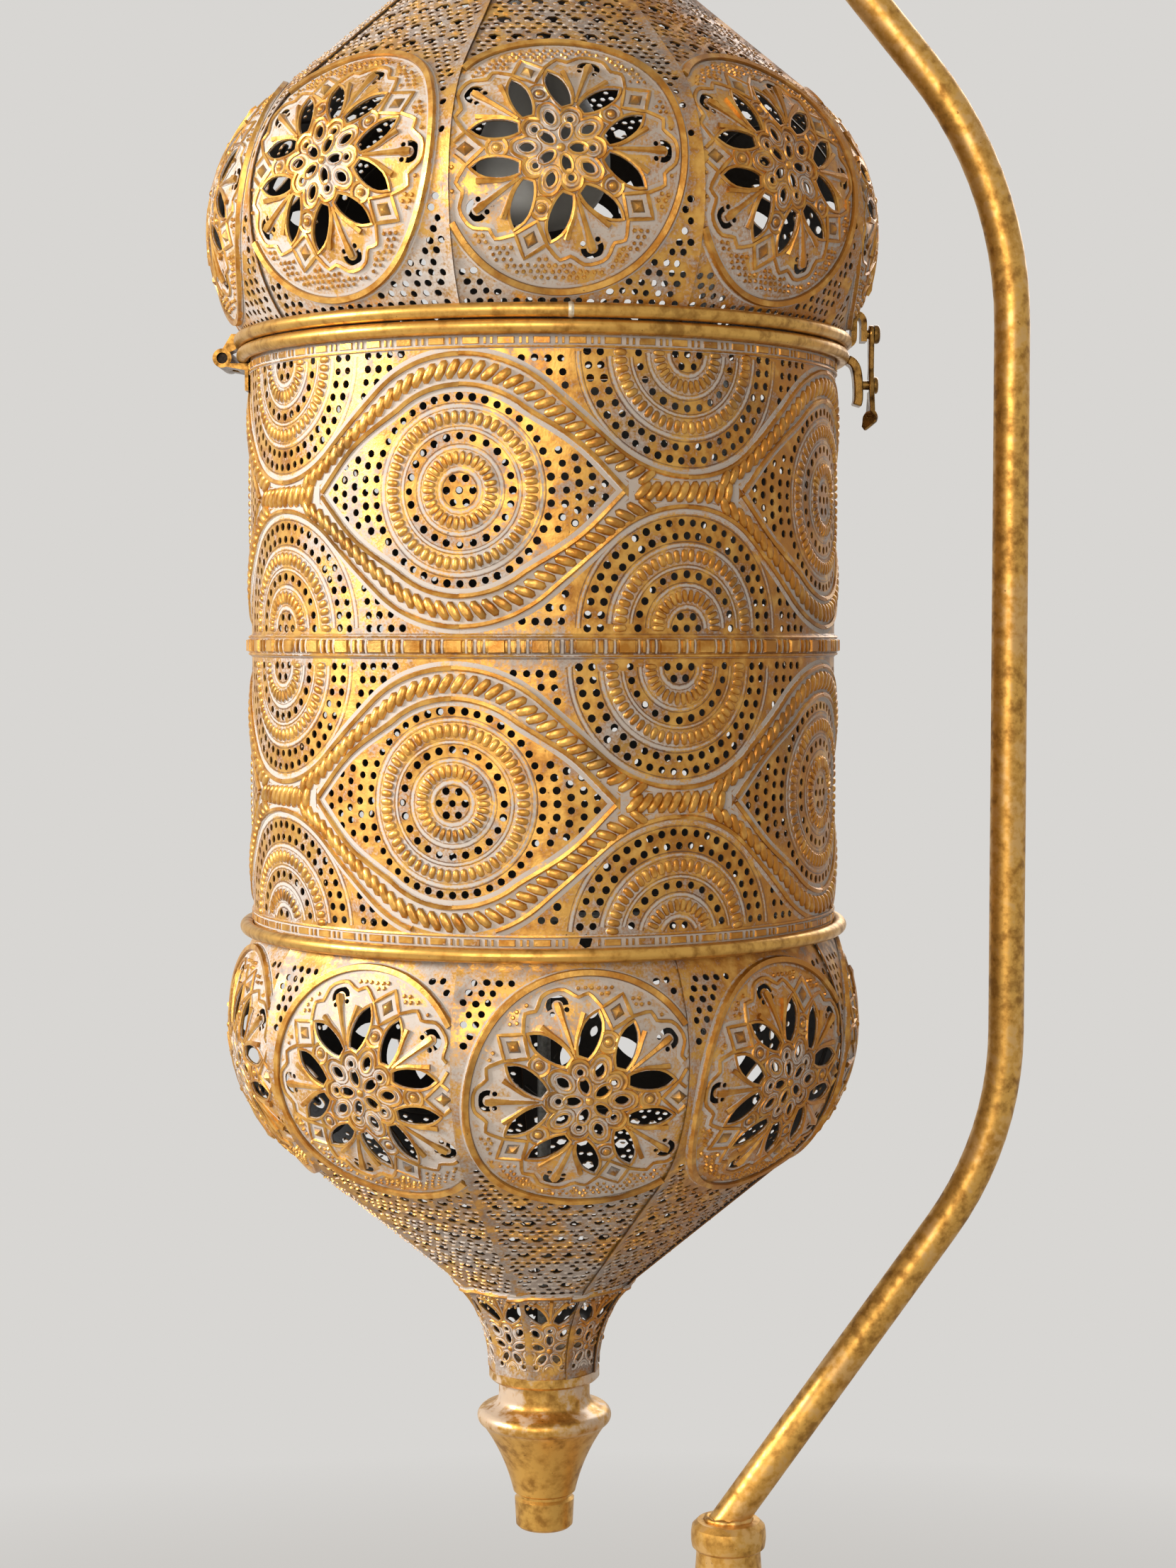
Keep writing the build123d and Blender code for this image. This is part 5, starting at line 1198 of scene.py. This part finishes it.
def panels(kind):
    k = panelSettings
    at, start, end = sheetLines[kind]
    relief = panelRelief(kind)
    rows = int((end - start) / k["sheetStep"]) + 1
    s = np.unique(np.append(np.linspace(start, end, rows), start - k["tuck"][kind]))
    gridV = np.repeat(s[:, None], k["cols"], 1)
    gridU = np.outer(halfPanel * at(s)[0], np.linspace(-1, 1, k["cols"]))
    gridU[:, -1] += k["overlap"]
    mesh, flat = embossed(kind + "Panel", slab(kind + "Slab", gridU, gridV, k["sheetThickness"]), relief)
    ringGrimeAndShade, netGrimeAndShade, rimGrimeAndShade = k["grimeAndShade"]

    def ground(u, v):
        inRing = ringShare(kind, u, v) < 1
        grimeAndShade = np.where(v > k["slotStart"] - k["netGrimeAndShadeGap"], netGrimeAndShade, rimGrimeAndShade)
        return np.where(inRing, *k["chalk"]), np.where(inRing, ringGrimeAndShade, grimeAndShade)

    wash, grimeAndShade = washAmount(mesh, flat, ground)
    up = k["upward"][kind]
    low, high = nodeBox(kind + "_panel")
    neckZ = high[2] if up > 0 else low[2]
    bulgeZ = neckZ - up * float(at(end)[1]) * mm
    proud, lapWidth = k["lap"]

    def placed(number):
        middle = math.radians(k["firstSeam"] + (number - 0.5) * 360 / k["count"])

        def place(points):
            r, z, normalR, normalZ = at(points[:, 1])
            edge = halfPanel * r - points[:, 0]
            h = points[:, 2] + proud * np.clip(1 - edge / lapWidth, 0, 1) ** 2
            angle = middle + up * points[:, 0] / r
            radius = (r + h * normalR) * mm
            height = bulgeZ + up * (z + h * normalZ) * mm
            return np.column_stack([axisX + radius * np.cos(angle), radius * np.sin(angle), height])

        return place

    for number in range(1, k["count"] + 1):
        copy = mesh.copy()
        finishSheet(copy, flat, placed(number), wash, grimeAndShade)
        piece = newObject(f"{kind}PiercedPanel{number}", copy)
        fitted(piece, k["body"][kind], f"{kind}_panel_{number}")
    print(kind, "panels", triangleCount(mesh), "triangles each", len(relief.punches), "holes",
          len(relief.stamps), "stamps")


for kind in ("dome", "bowl"):
    panels(kind)


# mid rib between the two drum sheets, with the same dashes

ribSettings = {
    "pitch": 17.5, "pad": 3.9, "halfTall": 2.9,  # mm
    "ticks": (-1.9, 1.9), "tick": 0.7,  # from the middle between two pads
    "padHeight": 1.15, "tickHeight": 1.05,
    "chalk": ((-3.7, 0.75), (0, 1.0), (3.7, 0.75)),  # chalk beside the ticks, place and half width
    "edge": 0.8, "edgeRadius": 0.7, "edgeWash": (1.6, 0.8),  # half width and amount
    "crown": 1.5, "proud": 0.3, "start": 8, "padTurn": 0.01,
    "edgeLine": (1, 260),  # mm from the seam at the back, and number of points
    "pinHole": (1.2, 0.5),  # by that seam: place and radius
    "ground": (0.35, 0.4),  # chalk, and grime with painted shade
    "sheetStep": 4, "sheetThickness": 0.9, "rows": 7,
}


def midRib():
    k = ribSettings
    low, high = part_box("mid_rib")
    halfHeight = (high.z - low.z) / 2 / mm
    relief = Relief()
    reach = halfGirth - k["start"]
    for u in np.arange(-reach, reach, k["pitch"]):
        relief.stamp("pad", u, 0, rng.normal(0, k["padTurn"]), k["pad"], k["halfTall"], k["padHeight"])
        between = u + k["pitch"] / 2
        for across in k["ticks"]:
            relief.stamp("pad", between + across, 0, 0, k["tick"], k["halfTall"], k["tickHeight"])
        for across, halfWidth in k["chalk"]:
            upright = levelLine(k["halfTall"], between + across, 7)[:, ::-1]
            relief.film(upright, halfWidth, 1.0)
    fromSeam, count = k["edgeLine"]
    for side in (-1, 1):
        run = levelLine(halfGirth - fromSeam, side * (halfHeight - k["edge"]), count)
        relief.line(run, k["edgeRadius"])
        relief.film(run, *k["edgeWash"])
    holeAt, radius = k["pinHole"]
    relief.punch("round", -halfGirth + holeAt, 0, 0, radius, radius)
    mesh = wrappedBand("midRib", relief, k, (low.z + high.z) / 2, (-halfHeight, halfHeight), k["rows"],
                       lambda u, v: [np.full(len(u), amount) for amount in k["ground"]],
                       lambda v: k["crown"] * (1 - (v / halfHeight) ** 2) + k["proud"])
    fitted(newObject("midRibDashes", mesh), "drum", "mid_rib")
    print("mid rib", triangleCount(mesh), "triangles")


midRib()

# the embossing tools are done with
for group in (punchTools, stampTools):
    for tool in list(group.objects):
        bpy.data.objects.remove(tool)
    bpy.data.collections.remove(group)


# joint in the dome's rim wire, and the weld at the foot of the tube

jointSettings = {
    "azimuth": -84.4,  # degrees from +X
    "halfLength": 1.1, "radii": (3.069, 3.3, 3.3, 3.069),  # mm
    "sides": 16,
}
weldSettings = {
    "lean": 35.4,  # degrees
    "tubeRadius": 8.0, "rise": 0.4, "beadRadius": 1.6,  # mm
    "lumps": 9, "lumpShare": 0.22, "lumpPhase": 0.6, "lumpSpread": 0.06,
    "count": 48, "sides": 8,
}
sweptSharp = math.radians(50)


def sweptTube(name, points, radii, closed, sides, finish):
    ahead = np.roll(points, -1, 0) - np.roll(points, 1, 0)
    if not closed:
        ahead[0] = points[1] - points[0]
        ahead[-1] = points[-1] - points[-2]
    ahead /= np.linalg.norm(ahead, axis=1)[:, None]
    across = np.cross(ahead, [0, 0, 1])
    across /= np.linalg.norm(across, axis=1)[:, None]
    up = np.cross(across, ahead)
    turns = around(0, 0, 1, ringAngles(sides))
    ring = turns[None, :, :1] * across[:, None] + turns[None, :, 1:] * up[:, None]
    verts = (points[:, None] + np.asarray(radii)[:, None, None] * ring).reshape(-1, 3)
    faces = []
    count = len(points)
    for i in range(count if closed else count - 1):
        n = (i + 1) % count
        for j in range(sides):
            m = (j + 1) % sides
            faces.append((i * sides + j, n * sides + j, n * sides + m, i * sides + m))
    if not closed:
        faces += [tuple(range(sides)), tuple(reversed(range((count - 1) * sides, count * sides)))]
    mesh = newMesh(name, verts, faces)
    mesh.shade_smooth()
    mesh.set_sharp_from_angle(angle=sweptSharp)
    mesh.materials.append(finishes[finish])
    return newObject(name, mesh)


def wireJoint():
    k = jointSettings
    low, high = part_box("dome_rim_wire")
    wireRadius = (high.x - low.x) / 2 - (high.z - low.z) / 2
    spread = math.degrees(k["halfLength"] * mm / wireRadius)
    radii = np.array(k["radii"]) * mm
    angles = np.radians(np.linspace(k["azimuth"] - spread, k["azimuth"] + spread, len(radii)))
    levels = np.full(len(radii), (low.z + high.z) / 2)
    points = np.column_stack([around(axisX, 0, wireRadius, angles), levels])
    piece = sweptTube("rimWireJoint", points, radii, False, k["sides"], "solder")
    fitted(piece, "dome")


def tubeWeld():
    # a lumpy bead where the leaning tube meets the collar
    k = weldSettings
    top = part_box("post_collar")[1].z
    a = ringAngles(k["count"])
    long = k["tubeRadius"] / math.cos(math.radians(k["lean"]))
    oval = around(0, 0, 1, a) * [long, k["tubeRadius"]]
    points = np.column_stack([oval, np.full(k["count"], k["rise"])]) * mm + [0, 0, top]
    waves = k["lumpShare"] * np.sin(k["lumps"] * a + k["lumpPhase"])
    lumps = 1 + waves + rng.normal(0, k["lumpSpread"], k["count"])
    piece = sweptTube("tubeWeldBead", points, lumps * k["beadRadius"] * mm, True, k["sides"], "stand_gilt")
    fitted(piece, "stand")


wireJoint()
tubeWeld()
print("wire joint and weld")


# latch: a folded strap, a bent keeper and a hook with its tail turned to the front

latchSettings = {
    "straps": {  # middle line of each strap, mm from the hook's back face and from the seam
        "latch_bracket": [(-9.4, 3.6), (-8.2, 3.4), (-7.0, 5.2), (-6.8, 9.5), (-6.6, 14.0),
                          (-4.6, 16.4), (-2.6, 14.0), (-2.4, 9.5), (-2.4, 4.4)],
        "latch_keeper": [(-9.4, -3.6), (-7.8, -4.3), (-6.3, -6.0), (-5.3, -9.0), (-4.8, -13.0),
                         (-4.6, -17.5), (-4.7, -21.5), (-5.3, -23.9)],
    },
    "thick": {"latch_bracket": 2.6, "latch_keeper": 4.0}, "halfWide": 5.0, "step": 0.7,
    "edge": 0.6, "sharp": 40,  # of the rubbed edges: mm, and degrees from which an edge is one
    "tail": {"from": -25.6, "run": 4.0, "turn": 65, "sway": 0.028, "slice": 0.8,  # below the seam
             "merge": 0.002, "flat": 2},  # points this near and faces this level become one
    "body": {"latch_bracket": "dome", "latch_keeper": "drum", "latch_hook": "latch_hook"},
}
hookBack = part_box("latch_hook")[0].x


def latchPiece(node, form):
    # sharp edges are rubbed round, so that they catch the light
    sharp = [edge for edge in form.edges if edge.calc_face_angle(0) > math.radians(latchSettings["sharp"])]
    bmesh.ops.bevel(form, geom=sharp, offset=latchSettings["edge"] * mm, segments=2, profile=0.5,
                    affect="EDGES", clamp_overlap=True)
    mesh = formMesh(form, bpy.data.meshes.new(node))
    mesh.materials.append(finishes["latch_tarnish_and_sheen"])
    words = node.split("_")
    return newObject(words[0] + words[1].capitalize() + "Plate", mesh)


def bentStrap(node):
    k = latchSettings
    line = smoothLine(k["straps"][node], k["step"])
    along = np.gradient(line, axis=0)
    along = along / np.linalg.norm(along, axis=1)[:, None]
    out = np.column_stack([-along[:, 1], along[:, 0]]) * k["thick"][node] / 2
    form = bmesh.new()
    rings = []
    for outer, inner in zip(line + out, line - out):
        corners = ((outer, -1), (outer, 1), (inner, 1), (inner, -1))
        rings.append([form.verts.new((hookBack + x * mm, side * k["halfWide"] * mm, seamZ + z * mm))
                      for (x, z), side in corners])
    for near, far in zip(rings, rings[1:]):
        for i in range(4):
            form.faces.new((near[i], near[i - 1], far[i - 1], far[i]))
    form.faces.new(rings[0])
    form.faces.new(rings[-1][::-1])
    bmesh.ops.recalc_face_normals(form, faces=form.faces)
    return latchPiece(node, form)


def turnedHook(node):
    k = latchSettings["tail"]
    form = bmesh.new()
    form.from_mesh(frame["nodes"][node].data)
    bmesh.ops.remove_doubles(form, verts=form.verts, dist=k["merge"] * mm)
    bmesh.ops.dissolve_limit(form, angle_limit=math.radians(k["flat"]), verts=form.verts, edges=form.edges)
    piece = latchPiece(node, form)
    low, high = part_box(node)
    top = seamZ + k["from"] * mm
    middle = (low.x + high.x) / 2
    form = bmesh.new()
    form.from_mesh(piece.data)
    for level in np.arange(low.z, top, k["slice"] * mm):
        bmesh.ops.bisect_plane(form, geom=[*form.verts, *form.edges, *form.faces],
                               plane_co=(middle, 0, level), plane_no=(0, 0, 1))
    for vert in form.verts:
        below = max(0.0, (top - vert.co.z) / mm)
        turn = math.radians(k["turn"]) * min(1.0, below / k["run"])
        x = vert.co.x - middle
        y = vert.co.y
        vert.co.x = middle + x * math.cos(turn) - y * math.sin(turn) - k["sway"] * below ** 2 * mm
        vert.co.y = x * math.sin(turn) + y * math.cos(turn)
    formMesh(form, piece.data)
    return piece


for node, body in latchSettings["body"].items():
    piece = bentStrap(node) if node in latchSettings["straps"] else turnedHook(node)
    fitted(piece, body, node)
    print("latch", node, triangleCount(piece.data), "triangles")


# solids that keep their shape take their slot's finish, or one of their own

ownFinish = {
    "finial": "finial", "hinge_upper": "bare_brass", "hinge_lower": "bare_brass",
    "hinge_pin": "pin_painted_bore_shade", "latch_screw": "latch_tarnish_and_sheen", "keeper_stud": "latch_tarnish_and_sheen",
}
for entry in frame["record"]["subparts"]:
    finish = finishes.get(ownFinish.get(entry["node"], entry["material_slot"]))
    if finish:
        for slot in frame["nodes"][entry["node"]].material_slots:
            slot.material = finish


# floor, light and camera

stageSettings = {
    "floor": "#D0CECB", "backdrop": "#D8D6D3", "radius": 9.0, "fadeFrom": 1.0, "fadeTo": 2.6,
    "soft": 0.13, "softColour": "#FFEAD0", "rough": 0.9, "aimHeight": 1.18,
}


def paleFloor():
    # matt floor that fades into the pale surroundings
    k = stageSettings
    edge = around(0, 0, k["radius"], np.radians(np.arange(0, 360, 5)))
    floor = newObject("floor", newMesh("floor", [(x, y, 0) for x, y in edge], [range(len(edge))]))
    material, tree, coords, noise = newMaterial("pale matt floor", {})
    shader = tree.nodes["Principled BSDF"]
    setInputs(tree, shader, {"Base Color": hexLinear(k["floor"]), "Roughness": k["rough"]})
    distance = addNode(tree, "ShaderNodeVectorMath", {0: coords}, operation="LENGTH")
    far = addNode(tree, "ShaderNodeMapRange",
                  {"Value": distance, "From Min": k["fadeFrom"], "From Max": k["fadeTo"]})
    glow = addNode(tree, "ShaderNodeEmission", {"Color": hexLinear(k["backdrop"]), "Strength": 1.0})
    both = addNode(tree, "ShaderNodeMixShader", {0: far, 1: shader, 2: glow})
    setInputs(tree, tree.nodes["Material Output"], {"Surface": both})
    floor.data.materials.append(material)


paleFloor()

lightSettings = {
    "window": {"place": (-2.35, -0.62, 1.95), "size": 0.8, "power": 94, "colour": "#FFFAF2"},
    "front": {"place": (-0.6, -2.4, 1.8), "size": 1.3, "power": 36, "colour": "#FFEED8"},
    "back": {"place": (0.8, 1.9, 2.2), "size": 1.4, "power": 20, "colour": "#FFFFFF"},
}
aim = Vector((axisX, 0, stageSettings["aimHeight"]))
for name, k in lightSettings.items():
    data = bpy.data.lights.new(name, "AREA")
    data.energy = k["power"]
    data.size = k["size"]
    data.color = hexLinear(k["colour"])[:3]
    lamp = newObject(name, data)
    lamp.location = k["place"]
    lamp.rotation_euler = (aim - lamp.location).to_track_quat("-Z", "Y").to_euler()

world = bpy.data.worlds.new("studio")
scene.world = world
world.use_nodes = True
sky = world.node_tree
ray = addNode(sky, "ShaderNodeLightPath")
seen = ray.outputs["Is Camera Ray"]
for kind in ("Is Glossy Ray", "Is Transmission Ray"):
    seen = addNode(sky, "ShaderNodeMath", {0: seen, 1: ray.outputs[kind]}, operation="MAXIMUM")
soft, pale = (addNode(sky, "ShaderNodeBackground", {"Color": hexLinear(colour), "Strength": strength})
              for colour, strength in ((stageSettings["softColour"], stageSettings["soft"]),
                                       (stageSettings["backdrop"], 1.0)))
blend = addNode(sky, "ShaderNodeMixShader", {0: seen, 1: soft, 2: pale})
setInputs(sky, sky.nodes["World Output"], {"Surface": blend})
print("floor, lights and surroundings")

cameraSettings = {"place": (-0.0645, -1.218, 1.1744), "down": 3.2, "lens": 61.94, "sensor": 36}
cameraData = bpy.data.cameras.new("camera")
cameraData.lens = cameraSettings["lens"]
cameraData.sensor_width = cameraSettings["sensor"]
camera = newObject("camera", cameraData)
camera.location = cameraSettings["place"]
camera.rotation_euler = (math.radians(90 - cameraSettings["down"]), 0, 0)
scene.camera = camera
scene.view_settings.view_transform = "Standard"
